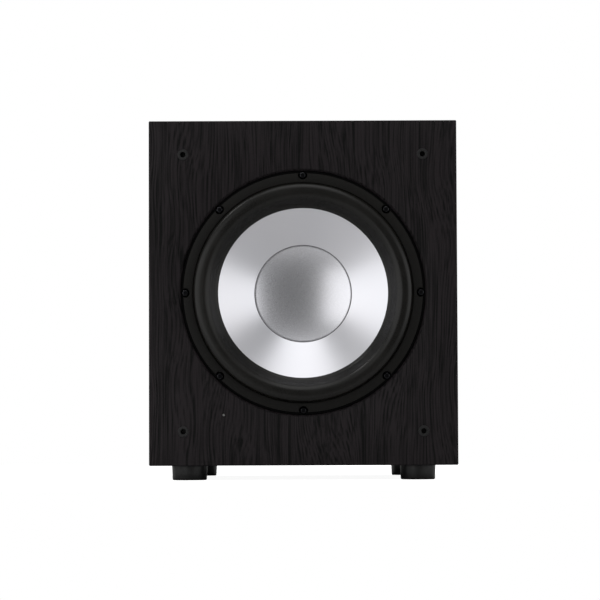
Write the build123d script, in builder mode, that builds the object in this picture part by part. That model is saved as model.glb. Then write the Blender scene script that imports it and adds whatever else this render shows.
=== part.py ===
from build123d import *
import math
import os

os.makedirs("parts", exist_ok=True)

# Powered subwoofer: a vinyl-wrapped board cabinet on four feet, a 10 inch driver in the
# front, a flared port and a plate amplifier in the rear.
# Millimetres. +Z is up, the front faces -Y, +X is to the right as seen from the front.
# The origin is on the floor, under the middle of the whole object.
# "Depth" is measured from the front face of the baffle towards the rear.

# ---------------------------------------------------------------- driving dimensions
cabinet_width = 336.0
cabinet_height = 376.0
cabinet_depth = 400.0
panel = 18.0                # board thickness
baffle = 25.0               # thickness of the front board
edge_round = 1.2            # outer corners of the cabinet

foot_height = 16.0
foot_r = 19.6               # at the top, tapering by foot_taper
foot_taper = 0.8
foot_x = 125.5              # foot centres, from the middle of the cabinet
foot_front_depth = 42.0
foot_rear_depth = 366.0

# driver, as radii about its axis and depths behind the baffle's front
recess_r = 133.2
recess_depth = 6.0
recess_chamfer = 2.6
cutout_r = 116.0
flange_r = 132.7
flange_face = 3.0
sheet = 1.5                 # basket steel
screw_circle_r = 128.3
screw_count = 8
trim_r = 130.4
trim_inner_r = 120.2
lip_r = 123.6               # outer edge of the surround, under the trim ring
roll_mid_r = 109.5          # crest of the surround's half roll
roll_r = 9.5
surround_sheet = 1.2
cone_rim_r = 100.0
cone_rim_depth = 3.4
cone_slope = 24.0           # degrees from the baffle plane
cone_sheet = 0.66
lip_inner_r = 93.1          # where the surround's inner lip ends on the cone
cap_r = 52.8
cap_curve_r = 181.0
cap_sheet = 0.6
former_r = 25.7
former_wall = 0.3
coil_front = 68.0
coil_rear = 88.0
coil_r = 27.0
spider_depth = 54.0
top_plate_front = 74.0
magnet_front = 82.0
yoke_front = 102.0
yoke_rear = 112.0
pole_r = 24.8
gap_outer_r = 27.7

# grille sockets and status light in the baffle
socket_span_x = 261.4
socket_span_z = 302.0
socket_hole_r = 3.0
led_x = -86.8
led_below_driver = 133.0
led_r = 1.6

# port in the rear panel, above the amplifier
port_r = 34.0
port_wall = 2.0
port_flare_r = 13.0
port_rise = 298.0           # axis above the underside of the cabinet
port_length = 179.0

# plate amplifier in the rear panel
plate_width = 196.0
plate_height = 220.0
plate_thick = 2.5
plate_rise = 126.0          # plate centre above the underside of the cabinet
gasket_thick = 2.0
fin_height = 14.0           # heat sink over the plate's face; the rearmost thing

# ---------------------------------------------------------------- worked out
lip_mid_depth = flange_face - surround_sheet / 2
surround_proud = roll_r + surround_sheet / 2 - lip_mid_depth
rear_proud = gasket_thick + plate_thick + fin_height
front_y = (surround_proud - cabinet_depth - rear_proud) / 2
rear_y = front_y + cabinet_depth
bottom_z = foot_height
top_z = foot_height + cabinet_height
mid_z = (bottom_z + top_z) / 2
driver_z = mid_z
port_z = bottom_z + port_rise
plate_z = bottom_z + plate_rise
plate_in = rear_y + gasket_thick
plate_out = plate_in + plate_thick
cavity_width = cabinet_width - 2 * panel
cavity_height = cabinet_height - 2 * panel
panel_run = cabinet_depth - baffle
panel_mid_y = front_y + baffle + panel_run / 2
led_z = driver_z - led_below_driver

driver_profile = Plane(origin=(0, front_y, driver_z), x_dir=(0, 1, 0), z_dir=(1, 0, 0))
driver_axis = Axis((0, front_y, driver_z), (0, 1, 0))
port_profile = Plane(origin=(0, rear_y, port_z), x_dir=(0, -1, 0), z_dir=(-1, 0, 0))
port_axis = Axis((0, rear_y, port_z), (0, 1, 0))


def upright(y):
    """The vertical plane across the object at y, drawn in (x, z), its normal to the front."""
    return Plane.XZ.offset(-y)


def ring(inner, outer, front, rear):
    """Outline, as (depth, radius) points, of a plain ring about the driver's axis."""
    return (front, inner), (front, outer), (rear, outer), (rear, inner)


def cone_depth(radius):
    """Depth of the cone's front surface, a straight slope from its rim to its neck."""
    return cone_rim_depth + (cone_rim_r - radius) * math.tan(math.radians(cone_slope))


# ================================================================ cabinet
pilot_r = 1.95
screw_r = 1.9
socket_cup_r = 5.0
socket_cup_depth = 12.0
led_step_depth = 6.0
led_step_r = 2.6
driver_pilot_depth = 14.0
cup_play = 0.1
cup_end_play = 0.5

with BuildPart() as front_baffle:
    with BuildSketch(upright(front_y)):
        with Locations((0, mid_z)):
            Rectangle(cabinet_width, cabinet_height)
    extrude(amount=-baffle)
    corners = front_baffle.edges().filter_by(Axis.Y)
    front_edges = front_baffle.faces().sort_by(Axis.Y)[0].edges()
    fillet(corners + front_edges, edge_round)
    with BuildSketch(driver_profile):
        Polygon(
            (-1, 0),
            (-1, recess_r + recess_chamfer + 1),
            (recess_chamfer, recess_r),
            (recess_depth, recess_r),
            (recess_depth, cutout_r),
            (baffle + 1, cutout_r),
            (baffle + 1, 0),
            align=None,
        )
    revolve(axis=driver_axis, mode=Mode.SUBTRACT)
    with BuildSketch(upright(front_y + recess_depth)):
        with Locations((0, driver_z)):
            with PolarLocations(screw_circle_r, screw_count):
                Circle(pilot_r)
    extrude(amount=-driver_pilot_depth, mode=Mode.SUBTRACT)
    with BuildSketch(upright(front_y)):
        with Locations((0, driver_z)):
            with GridLocations(socket_span_x, socket_span_z, 2, 2):
                Circle(socket_cup_r + cup_play)
    extrude(amount=-socket_cup_depth - cup_end_play, mode=Mode.SUBTRACT)
    with BuildSketch(upright(front_y)):
        with Locations((led_x, led_z)):
            Circle(led_r)
    extrude(amount=-baffle, mode=Mode.SUBTRACT)
    with BuildSketch(upright(front_y + led_step_depth)):
        with Locations((led_x, led_z)):
            Circle(led_step_r)
    extrude(amount=-baffle, mode=Mode.SUBTRACT)
front_baffle.part.label = "front_baffle"
export_step(front_baffle.part, "parts/front_baffle.step")

with BuildPart() as top_panel:
    with Locations((0, panel_mid_y, top_z - panel / 2)):
        Box(cabinet_width, panel_run, panel)
    fillet(top_panel.edges().filter_by(Axis.Y).group_by(Axis.Z)[-1], edge_round)
top_panel.part.label = "top_panel"
export_step(top_panel.part, "parts/top_panel.step")

foot_depths = {"front": foot_front_depth, "rear": foot_rear_depth}
foot_sides = {"left": -foot_x, "right": foot_x}
foot_places = [(x, front_y + depth) for depth in foot_depths.values() for x in foot_sides.values()]
foot_screw_length = 12.0

with BuildPart() as bottom_panel:
    with Locations((0, panel_mid_y, bottom_z + panel / 2)):
        Box(cabinet_width, panel_run, panel)
    fillet(bottom_panel.edges().filter_by(Axis.Y).group_by(Axis.Z)[0], edge_round)
    with BuildSketch(Plane.XY.offset(bottom_z)):
        with Locations(*foot_places):
            Circle(pilot_r)
    extrude(amount=foot_screw_length + 1, mode=Mode.SUBTRACT)
bottom_panel.part.label = "bottom_panel"
export_step(bottom_panel.part, "parts/bottom_panel.step")

for side, sign in (("left", -1), ("right", 1)):
    with BuildPart() as side_panel:
        with Locations((sign * (cabinet_width - panel) / 2, panel_mid_y, mid_z)):
            Box(panel, panel_run, cavity_height)
    side_panel.part.label = f"{side}_panel"
    export_step(side_panel.part, f"parts/{side}_panel.step")

# the amplifier's screws run round the plate, outside the panel's cutout
amp_cutout_width = 172.0
amp_cutout_height = 196.0
amp_screw_inset = 6.0
amp_screw_x = plate_width / 2 - amp_screw_inset
amp_screw_z = plate_height / 2 - amp_screw_inset
amp_screw_places = [
    (sign * amp_screw_x, plate_z + rise)
    for sign in (-1, 1)
    for rise in (-amp_screw_z, -amp_screw_z / 3, amp_screw_z / 3, amp_screw_z)
]
amp_screw_places += [(0, plate_z - amp_screw_z), (0, plate_z + amp_screw_z)]
amp_screw_length = 14.0
port_collar_r = port_r + port_wall + 4
collar_play = 0.3
cutout_corner = 4.0

with BuildPart() as rear_panel:
    with BuildSketch(upright(rear_y)):
        with Locations((0, mid_z)):
            Rectangle(cavity_width, cavity_height)
        with Locations((0, port_z)):
            Circle(port_collar_r + collar_play, mode=Mode.SUBTRACT)
        with Locations((0, plate_z)):
            RectangleRounded(amp_cutout_width, amp_cutout_height, cutout_corner, mode=Mode.SUBTRACT)
    extrude(amount=panel)
    with BuildSketch(upright(rear_y)):
        with Locations(*amp_screw_places):
            Circle(pilot_r)
    extrude(amount=amp_screw_length + 1, mode=Mode.SUBTRACT)
rear_panel.part.label = "rear_panel"
export_step(rear_panel.part, "parts/rear_panel.step")

brace_depth = 150.0
brace_window_width = 200.0
brace_window_height = 240.0
brace_window_corner = 30.0
with BuildPart() as window_brace:
    with BuildSketch(upright(front_y + brace_depth)):
        with Locations((0, mid_z)):
            Rectangle(cavity_width, cavity_height)
            RectangleRounded(
                brace_window_width,
                brace_window_height,
                brace_window_corner,
                mode=Mode.SUBTRACT,
            )
    extrude(amount=-panel)
window_brace.part.label = "window_brace"
export_step(window_brace.part, "parts/window_brace.step")

# sheets of wadding against the inside of the sides, before and behind the brace, and one
# on the floor in front of the brace
wadding = 20.0
wadding_gap = 5.0
wadding_front = (baffle + wadding_gap, brace_depth - wadding_gap)
wadding_rear = (brace_depth + panel + wadding_gap, cabinet_depth - panel - wadding_gap - 2)
with BuildPart() as damping_wadding:
    for start, end in (wadding_front, wadding_rear):
        for sign in (-1, 1):
            x = sign * (cavity_width - wadding) / 2
            with Locations((x, front_y + (start + end) / 2, mid_z)):
                Box(wadding, end - start, cavity_height - 2 * wadding_gap)
    start, end = wadding_front
    with Locations((0, front_y + (start + end) / 2, bottom_z + panel + wadding / 2)):
        Box(cavity_width - 2 * (wadding + wadding_gap), end - start, wadding)
damping_wadding.part.label = "damping_wadding"
export_step(damping_wadding.part, "parts/damping_wadding.step")

# ---------------------------------------------------------------- feet
foot_well_r = 6.0
foot_well_depth = 9.0
foot_hole_r = 2.2
foot_edge_round = 1.5
foot_head_r = 4.2
foot_head_height = 2.4
cross_length = 4.4          # cross recess in the screws' heads
cross_width = 0.9
cross_depth = 1.4

for end, depth in foot_depths.items():
    for side, x in foot_sides.items():
        y = front_y + depth
        with BuildPart() as foot:
            with BuildSketch(Plane(origin=(x, y, 0), x_dir=(1, 0, 0), z_dir=(0, -1, 0))):
                Polygon(
                    (foot_hole_r, foot_height),
                    (foot_r, foot_height),
                    (foot_r - foot_taper, 0),
                    (foot_well_r, 0),
                    (foot_well_r, foot_well_depth),
                    (foot_hole_r, foot_well_depth),
                    align=None,
                )
            revolve(axis=Axis((x, y, 0), (0, 0, 1)))
            rim = foot.edges().filter_by(GeomType.CIRCLE).group_by(Axis.Z)[0].sort_by(SortBy.RADIUS)[-1]
            fillet(rim, foot_edge_round)
        foot.part.label = f"foot_{end}_{side}"
        export_step(foot.part, f"parts/foot_{end}_{side}.step")

with BuildPart() as foot_screws:
    with BuildSketch(Plane.XY.offset(foot_well_depth)):
        with Locations(*foot_places):
            Circle(foot_head_r)
    extrude(amount=-foot_head_height)
    with BuildSketch(Plane.XY.offset(foot_well_depth)):
        with Locations(*foot_places):
            Circle(screw_r)
    extrude(amount=foot_height - foot_well_depth + foot_screw_length)
    with BuildSketch(Plane.XY.offset(foot_well_depth - foot_head_height)):
        with Locations(*foot_places):
            Rectangle(cross_length, cross_width)
            Rectangle(cross_width, cross_length)
    extrude(amount=cross_depth, mode=Mode.SUBTRACT)
foot_screws.part.label = "foot_screws"
export_step(foot_screws.part, "parts/foot_screws.step")

# ---------------------------------------------------------------- grille sockets and light
socket_flange_r = 6.2
socket_flange = 0.8
socket_rim_chamfer = 0.35
with BuildPart() as grille_sockets:
    with BuildSketch(upright(front_y)):
        with Locations((0, driver_z)):
            with GridLocations(socket_span_x, socket_span_z, 2, 2):
                Circle(socket_cup_r)
    extrude(amount=-socket_cup_depth)
    with BuildSketch(upright(front_y)):
        with Locations((0, driver_z)):
            with GridLocations(socket_span_x, socket_span_z, 2, 2):
                Circle(socket_flange_r)
    extrude(amount=socket_flange)
    with BuildSketch(upright(front_y - socket_flange)):
        with Locations((0, driver_z)):
            with GridLocations(socket_span_x, socket_span_z, 2, 2):
                Circle(socket_hole_r)
    extrude(amount=-socket_cup_depth, mode=Mode.SUBTRACT)
    rims = grille_sockets.edges().filter_by(GeomType.CIRCLE).group_by(Axis.Y)[0]
    chamfer(rims, socket_rim_chamfer)
grille_sockets.part.label = "grille_sockets"
export_step(grille_sockets.part, "parts/grille_sockets.step")

led_inset = 0.1
led_play = 0.05
led_step_play = 0.2
led_collar = 5.0
led_dome = 1.0
with BuildPart() as status_led:
    with BuildSketch(upright(front_y + led_inset)):
        with Locations((led_x, led_z)):
            Circle(led_r - led_play)
    extrude(amount=-led_step_depth + led_inset)
    with BuildSketch(upright(front_y + led_step_depth)):
        with Locations((led_x, led_z)):
            Circle(led_step_r - led_step_play)
    extrude(amount=-led_collar)
    fillet(status_led.edges().group_by(Axis.Y)[0], led_dome)
status_led.part.label = "status_led"
export_step(status_led.part, "parts/status_led.step")

# ================================================================ driver, fixed parts
basket_hole_r = 2.3
window_count = 6
window_depth = 33.5
window_length = 31.0
window_width = 60.0
window_corner = 6.0
window_cut_r = 76.0         # the cuts start inside the wall and run outwards
window_cut = 44.0
vent_depth = 64.5
basket_vent_r = 4.0
vent_cut_r = 60.0
vent_cut = 14.0
shoulder_depth = 13.0       # where the wall leaves the flange
shoulder_r = 112.9
shelf_outer_r = 81.0        # the spider's shelf
shelf_inner_r = 72.0
basket_neck_r = 65.4
basket_bore_r = 29.0

with BuildPart() as basket:
    with BuildSketch(driver_profile):
        Polygon(
            (flange_face, flange_r),
            (flange_face + sheet, flange_r),
            (flange_face + sheet, shoulder_r + 1.7),
            (shoulder_depth, shoulder_r),
            (spider_depth + sheet, shelf_outer_r),
            (spider_depth + sheet, shelf_inner_r),
            (top_plate_front, basket_neck_r),
            (top_plate_front, basket_bore_r),
            (top_plate_front - sheet, basket_bore_r),
            (top_plate_front - sheet, basket_neck_r - 1),
            (spider_depth, shelf_inner_r - 1.1),
            (spider_depth, shelf_outer_r - 0.8),
            (shoulder_depth - 0.6, shoulder_r - 1.4),
            (flange_face, shoulder_r + 0.2),
            align=None,
        )
    revolve(axis=driver_axis)
    with BuildSketch(upright(front_y + flange_face)):
        with Locations((0, driver_z)):
            with PolarLocations(screw_circle_r, screw_count):
                Circle(basket_hole_r)
    extrude(amount=-sheet, mode=Mode.SUBTRACT)
    # windows in the sloping wall, and a row of vents in the wall below the spider
    for step in range(window_count):
        angle = math.radians(step * 360 / window_count)
        out = Vector(math.sin(angle), 0, math.cos(angle))
        middle = Vector(0, front_y + window_depth, driver_z) + out * window_cut_r
        with BuildSketch(Plane(origin=middle, x_dir=(0, 1, 0), z_dir=out)):
            RectangleRounded(window_length, window_width, window_corner)
        extrude(amount=window_cut, mode=Mode.SUBTRACT)
    for step in range(2 * window_count):
        angle = math.radians(step * 180 / window_count)
        out = Vector(math.sin(angle), 0, math.cos(angle))
        middle = Vector(0, front_y + vent_depth, driver_z) + out * vent_cut_r
        with BuildSketch(Plane(origin=middle, x_dir=(0, 1, 0), z_dir=out)):
            Circle(basket_vent_r)
        extrude(amount=vent_cut, mode=Mode.SUBTRACT)
basket.part.label = "basket"
export_step(basket.part, "parts/basket.step")

# the trim ring sits on the flange, over the surround's outer lip, notched for the screws
notch_r = 4.8
lip_front = flange_face - surround_sheet
lip_play = 0.2
trim_inner_chamfer = 0.6
with BuildPart() as trim_ring:
    with BuildSketch(driver_profile):
        Polygon(
            (0, trim_inner_r + trim_inner_chamfer),
            (0, trim_r),
            (flange_face, trim_r),
            (flange_face, lip_r + lip_play),
            (lip_front, lip_r + lip_play),
            (lip_front, trim_inner_r),
            (trim_inner_chamfer, trim_inner_r),
            align=None,
        )
    revolve(axis=driver_axis)
    with BuildSketch(upright(front_y)):
        with Locations((0, driver_z)):
            with PolarLocations(screw_circle_r, screw_count):
                Circle(notch_r)
    extrude(amount=-flange_face, mode=Mode.SUBTRACT)
trim_ring.part.label = "trim_ring"
export_step(trim_ring.part, "parts/trim_ring.step")

gasket_play = 0.8
with BuildPart() as baffle_gasket:
    with BuildSketch(upright(front_y + flange_face + sheet)):
        with Locations((0, driver_z)):
            Circle(recess_r - gasket_play)
            Circle(cutout_r + gasket_play, mode=Mode.SUBTRACT)
            with PolarLocations(screw_circle_r, screw_count):
                Circle(basket_hole_r, mode=Mode.SUBTRACT)
    extrude(amount=-(recess_depth - flange_face - sheet))
baffle_gasket.part.label = "baffle_gasket"
export_step(baffle_gasket.part, "parts/baffle_gasket.step")

driver_head_r = 4.1
driver_head = 2.6
driver_head_round = 0.8
driver_screw_length = 15.0
hex_socket_r = 2.2
hex_socket_depth = 1.8
with BuildPart() as driver_screws:
    with BuildSketch(upright(front_y + flange_face)):
        with Locations((0, driver_z)):
            with PolarLocations(screw_circle_r, screw_count):
                Circle(driver_head_r)
    extrude(amount=driver_head)
    fillet(driver_screws.edges().group_by(Axis.Y)[0], driver_head_round)
    with BuildSketch(upright(front_y + flange_face)):
        with Locations((0, driver_z)):
            with PolarLocations(screw_circle_r, screw_count):
                Circle(screw_r)
    extrude(amount=-driver_screw_length)
    with BuildSketch(upright(front_y + flange_face - driver_head)):
        with Locations((0, driver_z)):
            with PolarLocations(screw_circle_r, screw_count):
                RegularPolygon(hex_socket_r, 6)
    extrude(amount=-hex_socket_depth, mode=Mode.SUBTRACT)
driver_screws.part.label = "driver_screws"
export_step(driver_screws.part, "parts/driver_screws.step")

steel_r = 66.0              # top plate and back plate
magnet_r = 70.0
magnet_bore_r = 35.0
steel_chamfer = 0.8
magnet_chamfer = 2.0
with BuildPart() as top_plate:
    with BuildSketch(driver_profile):
        Polygon(*ring(gap_outer_r, steel_r, top_plate_front, magnet_front), align=None)
    revolve(axis=driver_axis)
    chamfer(top_plate.edges().filter_by(GeomType.CIRCLE).sort_by(SortBy.RADIUS)[-2:], steel_chamfer)
top_plate.part.label = "top_plate"
export_step(top_plate.part, "parts/top_plate.step")

with BuildPart() as magnet_ring:
    with BuildSketch(driver_profile):
        Polygon(*ring(magnet_bore_r, magnet_r, magnet_front, yoke_front), align=None)
    revolve(axis=driver_axis)
    chamfer(magnet_ring.edges().filter_by(GeomType.CIRCLE).sort_by(SortBy.RADIUS)[-2:], magnet_chamfer)
magnet_ring.part.label = "magnet_ring"
export_step(magnet_ring.part, "parts/magnet_ring.step")

# back plate and pole are one turned piece, vented through its middle
vent_r = 9.0
yoke_chamfer = 3.0
with BuildPart() as pole_yoke:
    with BuildSketch(driver_profile):
        Polygon(
            (top_plate_front, vent_r),
            (top_plate_front, pole_r - 1),
            (top_plate_front + 1, pole_r),
            (yoke_front, pole_r),
            (yoke_front, steel_r),
            (yoke_rear - yoke_chamfer, steel_r),
            (yoke_rear, steel_r - yoke_chamfer),
            (yoke_rear, vent_r + yoke_chamfer),
            (yoke_rear - yoke_chamfer, vent_r),
            align=None,
        )
    revolve(axis=driver_axis)
pole_yoke.part.label = "pole_yoke"
export_step(pole_yoke.part, "parts/pole_yoke.step")

# a board on the back of the spider's shelf, at the bottom, with two blade terminals
strip_rise = driver_z - 85
strip_thick = 1.6
strip_width = 38.0
strip_height = 24.0
strip_corner = 2.0
blade_thick = 0.8
blade_width = 6.3
blade_lead = 1.5            # how far the blades stand out of the strip's front
blade_tail = 10.5
blade_x = 9.0
blade_drop = 88.0
strip_front = spider_depth + sheet
with BuildPart() as terminal_strip:
    with BuildSketch(upright(front_y + strip_front)):
        with Locations((0, strip_rise)):
            RectangleRounded(strip_width, strip_height, strip_corner)
        with Locations((-blade_x, driver_z - blade_drop), (blade_x, driver_z - blade_drop)):
            Rectangle(blade_thick, blade_width, mode=Mode.SUBTRACT)
    extrude(amount=-strip_thick)
terminal_strip.part.label = "terminal_strip"
export_step(terminal_strip.part, "parts/terminal_strip.step")

blade_front = strip_front - blade_lead
blade_rear = strip_front + blade_tail
with BuildPart() as driver_terminals:
    with BuildSketch(upright(front_y + blade_front)):
        with Locations((-blade_x, driver_z - blade_drop), (blade_x, driver_z - blade_drop)):
            Rectangle(blade_thick, blade_width)
    extrude(amount=-(blade_rear - blade_front))
driver_terminals.part.label = "driver_terminals"
export_step(driver_terminals.part, "parts/driver_terminals.step")

# ================================================================ driver, moving parts
glue_gap = 0.05
former_front = 35.0
winding_gap = 0.02

with BuildPart() as cone:
    neck_r = former_r + glue_gap
    with BuildSketch(driver_profile):
        Polygon(
            (cone_depth(cone_rim_r), cone_rim_r),
            (cone_depth(cone_rim_r) + cone_sheet, cone_rim_r),
            (cone_depth(neck_r) + cone_sheet, neck_r),
            (cone_depth(neck_r), neck_r),
            align=None,
        )
    revolve(axis=driver_axis)
cone.part.label = "cone"
export_step(cone.part, "parts/cone.step")


def dish(radius):
    """How much nearer the front than its middle a point of the dished cap lies."""
    return cap_curve_r - math.sqrt(cap_curve_r**2 - radius**2)


cap_middle = cone_depth(cap_r) - glue_gap - cap_sheet + dish(cap_r)
with BuildPart() as dust_cap:
    with BuildSketch(driver_profile):
        with BuildLine():
            front = [(cap_middle - dish(r), r) for r in (0, cap_r / 2, cap_r)]
            rear = [(depth + cap_sheet, r) for depth, r in front]
            ThreePointArc(*front)
            Line(front[2], rear[2])
            ThreePointArc(*rear)
            Line(rear[0], front[0])
        make_face()
    revolve(axis=driver_axis)
dust_cap.part.label = "dust_cap"
export_step(dust_cap.part, "parts/dust_cap.step")

with BuildPart() as voice_coil_former:
    with BuildSketch(driver_profile):
        Polygon(*ring(former_r - former_wall, former_r, former_front, coil_rear), align=None)
    revolve(axis=driver_axis)
voice_coil_former.part.label = "voice_coil_former"
export_step(voice_coil_former.part, "parts/voice_coil_former.step")

with BuildPart() as voice_coil:
    with BuildSketch(driver_profile):
        Polygon(*ring(former_r + winding_gap, coil_r, coil_front, coil_rear), align=None)
    revolve(axis=driver_axis)
voice_coil.part.label = "voice_coil"
export_step(voice_coil.part, "parts/voice_coil.step")


def roll(radius, depth):
    """Radius at which a circle about the roll's middle reaches a depth, as (near, far)."""
    half = math.sqrt(radius**2 - (lip_mid_depth - depth) ** 2)
    return roll_mid_r - half, roll_mid_r + half


# one half roll between a flat outer lip and an inner lip that lies on the cone
outer_arc = roll_r + surround_sheet / 2
inner_arc = roll_r - surround_sheet / 2
front_near, front_far = roll(outer_arc, lip_front)
rear_near, rear_far = roll(inner_arc, flange_face)
with BuildPart() as surround:
    with BuildSketch(driver_profile):
        with BuildLine():
            Polyline(
                (flange_face, rear_far),
                (flange_face, lip_r),
                (lip_front, lip_r),
                (lip_front, front_far),
            )
            ThreePointArc(
                (lip_front, front_far),
                (lip_mid_depth - outer_arc, roll_mid_r),
                (lip_front, front_near),
            )
            Polyline(
                (lip_front, front_near),
                (cone_depth(lip_inner_r) - surround_sheet, lip_inner_r + 0.4),
                (cone_depth(lip_inner_r) - glue_gap, lip_inner_r),
                (cone_depth(cone_rim_r) - glue_gap, cone_rim_r),
                (flange_face, rear_near),
            )
            ThreePointArc(
                (flange_face, rear_near),
                (lip_mid_depth - inner_arc, roll_mid_r),
                (flange_face, rear_far),
            )
        make_face()
    revolve(axis=driver_axis)
surround.part.label = "surround"
export_step(surround.part, "parts/surround.step")

spider_sheet = 0.9
spider_inner_r = former_r + 0.1
wave_start = 30.0
wave_end = 70.0
wave_count = 5
wave_rise = 1.8
wave_steps = 40
spider_r = 79.0


def wave(radius):
    """Depth of the middle of the spider's cloth, a sine between its collar and its rim."""
    part_way = (radius - wave_start) / (wave_end - wave_start)
    swing = wave_rise * math.sin(2 * math.pi * wave_count * part_way)
    return spider_depth - spider_sheet / 2 - swing


with BuildPart() as spider:
    pitch = (wave_end - wave_start) / wave_steps
    steps = [wave_start + i * pitch for i in range(wave_steps + 1)]
    before = [(wave(r) - spider_sheet / 2, r) for r in steps]
    behind = [(wave(r) + spider_sheet / 2, r) for r in steps]
    with BuildSketch(driver_profile):
        with BuildLine():
            Spline(*before)
            Polyline(before[-1], (before[-1][0], spider_r), (behind[-1][0], spider_r), behind[-1])
            Spline(*behind)
            Polyline(
                behind[0],
                (behind[0][0], spider_inner_r),
                (before[0][0], spider_inner_r),
                before[0],
            )
        make_face()
    revolve(axis=driver_axis)
spider.part.label = "spider"
export_step(spider.part, "parts/spider.step")

# flexible leads from the terminals, through the basket's lowest window, to the cone
tinsel_r = 0.8
tinsel_end_r = 46.0
tinsel_bend_r = 5.0
joint_gap = 0.3             # between a blade and the end of its lead
with BuildPart() as tinsel_leads:
    for x in (-blade_x, blade_x):
        route = [
            (x, front_y + blade_front - joint_gap, driver_z - blade_drop),
            (x, front_y + 43, driver_z - 89),
            (x, front_y + 35, driver_z - 68),
            (x, front_y + cone_depth(tinsel_end_r) + cone_sheet + 1.2, driver_z - tinsel_end_r),
        ]
        with BuildLine():
            path = FilletPolyline(*route, radius=tinsel_bend_r)
        with BuildSketch(Plane(origin=route[0], z_dir=path % 0)):
            Circle(tinsel_r)
        sweep(path=path)
tinsel_leads.part.label = "tinsel_leads"
export_step(tinsel_leads.part, "parts/tinsel_leads.step")

# ================================================================ port
# outlines are (way in from the rear face, radius)
port_flange = 3.0
tube_start = 18.0
tube_end = 158.0
socket_length = 16.0
tube_r = port_r + port_wall
flare_mouth_r = port_r + port_flare_r
flange_outer_r = flare_mouth_r + 3
tube_play = 0.1

with BuildPart() as port_outer_flare:
    with BuildSketch(port_profile):
        with BuildLine():
            throat = port_flare_r - port_flange
            Polyline(
                (-port_flange, flare_mouth_r),
                (-port_flange, flange_outer_r - 1),
                (-port_flange + 1, flange_outer_r),
                (0, flange_outer_r),
                (0, port_collar_r),
                (tube_start + socket_length, port_collar_r),
                (tube_start + socket_length, tube_r + tube_play),
                (tube_start, tube_r + tube_play),
                (tube_start, port_r),
                (throat, port_r),
            )
            RadiusArc((throat, port_r), (-port_flange, flare_mouth_r), port_flare_r)
        make_face()
    revolve(axis=port_axis)
port_outer_flare.part.label = "port_outer_flare"
export_step(port_outer_flare.part, "parts/port_outer_flare.step")

with BuildPart() as port_tube:
    with BuildSketch(port_profile):
        Polygon(*ring(port_r, tube_r, tube_start, tube_end), align=None)
    revolve(axis=port_axis)
port_tube.part.label = "port_tube"
export_step(port_tube.part, "parts/port_tube.step")

flare_wall = 2.5
with BuildPart() as port_inner_flare:
    with BuildSketch(port_profile):
        with BuildLine():
            arc_start = port_length - port_flare_r
            mouth = port_length - flare_wall
            RadiusArc((port_length, flare_mouth_r), (arc_start, port_r), port_flare_r)
            Polyline(
                (arc_start, port_r),
                (tube_end, port_r),
                (tube_end, tube_r + tube_play),
                (tube_end - socket_length, tube_r + tube_play),
                (tube_end - socket_length, tube_r + 3),
                (tube_end + 2, tube_r + 3),
                (tube_end + 4, port_r + flare_wall),
                (arc_start, port_r + flare_wall),
            )
            RadiusArc(
                (arc_start, port_r + flare_wall),
                (mouth, flare_mouth_r),
                -(port_flare_r - flare_wall),
            )
            Polyline(
                (mouth, flare_mouth_r),
                (mouth, flange_outer_r),
                (port_length, flange_outer_r),
                (port_length, flare_mouth_r),
            )
        make_face()
    revolve(axis=port_axis)
port_inner_flare.part.label = "port_inner_flare"
export_step(port_inner_flare.part, "parts/port_inner_flare.step")

# ================================================================ plate amplifier
play = 0.15                 # round what passes through the plate
frame_play = 0.1
plate_chamfer = 0.5
plate_corner = 6.0
control_z = plate_z + 32
volume_x = 56.0
crossover_x = 16.0
phase_x = -26.0
mode_x = -62.0
bush_r = 3.5
shaft_r = 3.0
shaft_play = 0.05
slot_width = 9.0
slot_height = 4.0
jack_places = [(x, plate_z + rise) for x in (34, 58) for rise in (-22, -4)]
jack_core_r = 3.3
socket_row_z = plate_z - 74
rocker_x = -48.0
rocker_frame_width = 13.0
rocker_frame_height = 19.0
inlet_x = 42.0
inlet_width = 27.0
inlet_height = 34.0
toroid_x = -40.0
toroid_z = plate_z - 24
toroid_bolt_r = 3.0

with BuildPart() as amp_plate:
    with BuildSketch(upright(plate_out)):
        with Locations((0, plate_z)):
            RectangleRounded(plate_width, plate_height, plate_corner)
        with Locations(*amp_screw_places):
            Circle(screw_r + 2 * play, mode=Mode.SUBTRACT)
        with Locations((volume_x, control_z), (crossover_x, control_z)):
            Circle(bush_r + play, mode=Mode.SUBTRACT)
        with Locations((phase_x, control_z), (mode_x, control_z)):
            Rectangle(slot_width, slot_height, mode=Mode.SUBTRACT)
        with Locations(*jack_places):
            Circle(jack_core_r + play, mode=Mode.SUBTRACT)
        with Locations((rocker_x, socket_row_z)):
            Rectangle(
                rocker_frame_width + 2 * frame_play,
                rocker_frame_height + 2 * frame_play,
                mode=Mode.SUBTRACT,
            )
        with Locations((inlet_x, socket_row_z)):
            Rectangle(
                inlet_width + 2 * frame_play,
                inlet_height + 2 * frame_play,
                mode=Mode.SUBTRACT,
            )
        with Locations((toroid_x, toroid_z)):
            Circle(toroid_bolt_r + frame_play, mode=Mode.SUBTRACT)
    extrude(amount=plate_thick)
    chamfer(amp_plate.faces().sort_by(Axis.Y)[-1].outer_wire().edges(), plate_chamfer)
amp_plate.part.label = "amp_plate"
export_step(amp_plate.part, "parts/amp_plate.step")

sink_width = 160.0
sink_height = 46.0
sink_z = plate_z + 77
sink_base = 3.0
fin_count = 17
fin = 1.8
with BuildPart() as heat_sink:
    with BuildSketch(upright(plate_out)):
        with Locations((0, sink_z)):
            Rectangle(sink_width, sink_height)
    extrude(amount=-sink_base)
    with BuildSketch(upright(plate_out + sink_base)):
        with Locations((0, sink_z)):
            with GridLocations((sink_width - fin) / (fin_count - 1), 0, fin_count, 1):
                Rectangle(fin, sink_height)
    extrude(amount=-(fin_height - sink_base))
heat_sink.part.label = "heat_sink"
export_step(heat_sink.part, "parts/heat_sink.step")

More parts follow.
